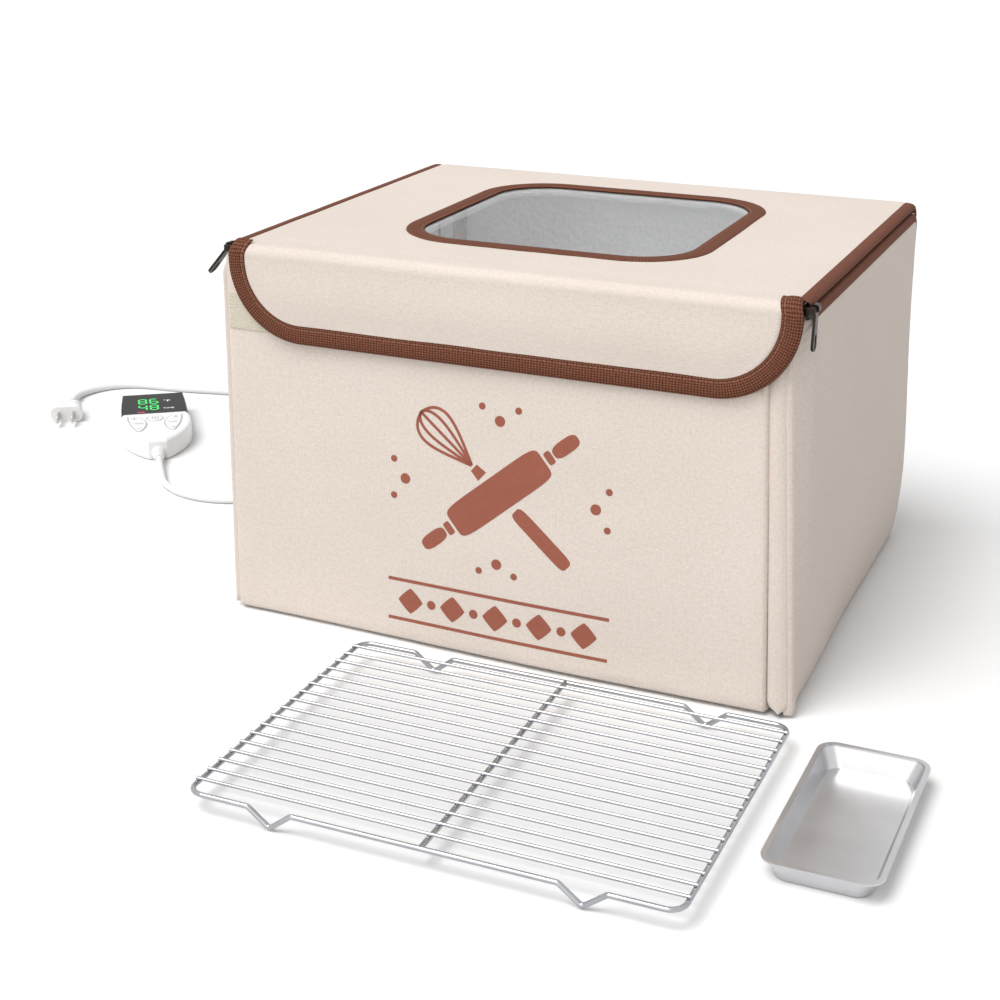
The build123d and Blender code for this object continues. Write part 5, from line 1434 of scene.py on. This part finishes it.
# whisk: a grip below the pin, with ends rounded along 1 - t^8, its neck above the pin, and five wires
grip_half = 2.4 + 2.4 * np.sqrt(np.clip(1 - (np.linspace(-1, 1, 40) ** 2) ** 4, 0, 1))
whisk = [
    ribbon(level_path(-62, -15, 40), grip_half),
    ribbon(level_path(14.5, 22, 12), np.linspace(4.0, 3.0, 12)),
]
s = np.linspace(0, 1, 60)
for spread in (-17.0, -9.0, 9.0, 17.0):
    wire_x = 24 + 46 * (1 - (1 - s) ** 1.7) * (1 - 0.02 * abs(spread) / 17)
    wire_z = spread * np.sin(pi * s**0.8) * (0.35 + 0.65 * s) * 1.08
    whisk.append(ribbon(np.column_stack([wire_x, wire_z]), 0.95))
whisk.append(ribbon(level_path(24, 70, 60), 0.95))
motif = [turned_shape(shape, (MOTIF_X, MOTIF_Z), PIN_TURN) for shape in pin]
motif += [turned_shape(shape, (MOTIF_X, MOTIF_Z), WHISK_TURN) for shape in whisk]
# dots to the left, right, above and below, and a row of diamonds and dots between two lines
for x, z, size in (
    (-64, 0, BIG_DOT), (-72, -12, SMALL_DOT), (-72, 12, SMALL_DOT),
    (64, 0, BIG_DOT), (72, -12, SMALL_DOT), (72, 12, SMALL_DOT),
    (0, 46, BIG_DOT), (-12, 54, SMALL_DOT), (12, 54, SMALL_DOT),
    (0, -46, BIG_DOT), (-12, -52, SMALL_DOT), (12, -52, SMALL_DOT),
):
    motif.append(lens_shape((MOTIF_X + x, MOTIF_Z + z), size, size))
for k in (-2, -1, 0, 1, 2):
    motif.append(lens_shape((MOTIF_X + k * ROW_PITCH, ROW_Z), DIAMOND, DIAMOND, power=1.15, spokes=48))
for k in (-1.5, -0.5, 0.5, 1.5):
    motif.append(lens_shape((MOTIF_X + k * ROW_PITCH, ROW_Z), ROW_DOT, ROW_DOT))
for z in (43.5, 16.5):
    motif.append(ribbon(level_path(-74, 78, 60, z), 1.1))
badge = flat_piece("badge_print", motif, on_front, PRINT, towards=(0, -1, 0))
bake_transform(badge)

# ------------------------------------------------------------------ counter
COUNTER_HALF, COUNTER_Z = 15000, -0.05
COUNTER_SCATTER, COUNTER_SEEN = (0.66, 0.66, 0.66), (0.90, 0.90, 0.90)


def seen_directly(tree):
    """1 for rays that show a surface to the camera, straight on, in a mirror or through glass; else 0."""
    path = tree.nodes.new("ShaderNodeLightPath")
    seen = maths(tree, "MAXIMUM", path.outputs["Is Glossy Ray"], path.outputs["Is Transmission Ray"])
    return maths(tree, "MAXIMUM", seen, path.outputs["Is Camera Ray"])


# seen directly the counter is white; the light it sends back to the walls is a little less
counter, tree, bsdf = new_material("counter", COUNTER_SEEN, 0.9, Specular_IOR_Level=0.1)
mixed_colour(tree, bsdf, seen_directly(tree), COUNTER_SCATTER, COUNTER_SEEN)
k = np.linspace(-COUNTER_HALF, COUNTER_HALF, 13)
gx, gy = np.meshgrid(k, k, indexing="ij")
ground = surface("counter_top", np.stack([gx, gy, np.full_like(gx, COUNTER_Z)], 2), counter)
facing(ground, (0, 0, 1))

# ------------------------------------------------------------------ light
WORLD_LIGHT = 0.50  # strength of the world's light on the object; seen directly it is 1, white

world = bpy.data.worlds.new("studio")
bpy.context.scene.world = world
world.use_nodes = True
tree = world.node_tree
back = tree.nodes["Background"]
back.inputs["Color"].default_value = (1, 1, 1, 1)
extra = maths(tree, "MULTIPLY", seen_directly(tree), 1 - WORLD_LIGHT)
tree.links.new(maths(tree, "ADD", extra, WORLD_LIGHT), back.inputs["Strength"])


def sun(name, towards, strength, spread):
    """A soft sun lamp that shines from a direction."""
    lamp = bpy.data.lights.new(name, "SUN")
    lamp.energy = strength
    lamp.angle = radians(spread)
    holder = bpy.data.objects.new(name, lamp)
    holder.rotation_euler = Vector(towards).to_track_quat("Z", "Y").to_euler()
    bpy.context.scene.collection.objects.link(holder)


sun("key_light", (-0.35, -0.50, 1.20), 2.05, 34)
sun("fill_light", (-0.1, -0.9, 0.45), 0.75, 60)

# ------------------------------------------------------------------ camera
CAMERA_AT = Vector((0.401, -1.069, 0.493))
AZIMUTH, ELEVATION, ROLL = radians(23.57), radians(21.15), radians(0.16)
SENSOR, FOCAL_SHARE = 36.0, 1.741  # the focal length is this share of the sensor's width

camera = bpy.data.cameras.new("camera")
camera.sensor_width = SENSOR
camera.lens = FOCAL_SHARE * SENSOR
camera.clip_end = 100.0
holder = bpy.data.objects.new("camera", camera)
forward = Vector((-sin(AZIMUTH) * cos(ELEVATION), cos(AZIMUTH) * cos(ELEVATION), -sin(ELEVATION)))
right = forward.cross(Vector((0, 0, 1))).normalized()
up = right.cross(forward)
right, up = right * cos(ROLL) + up * sin(ROLL), up * cos(ROLL) - right * sin(ROLL)
turn = Matrix((right, up, -forward)).transposed()
holder.matrix_world = Matrix.Translation(CAMERA_AT) @ turn.to_4x4()
bpy.context.scene.collection.objects.link(holder)
bpy.context.scene.camera = holder
bpy.context.scene.view_settings.view_transform = "Standard"
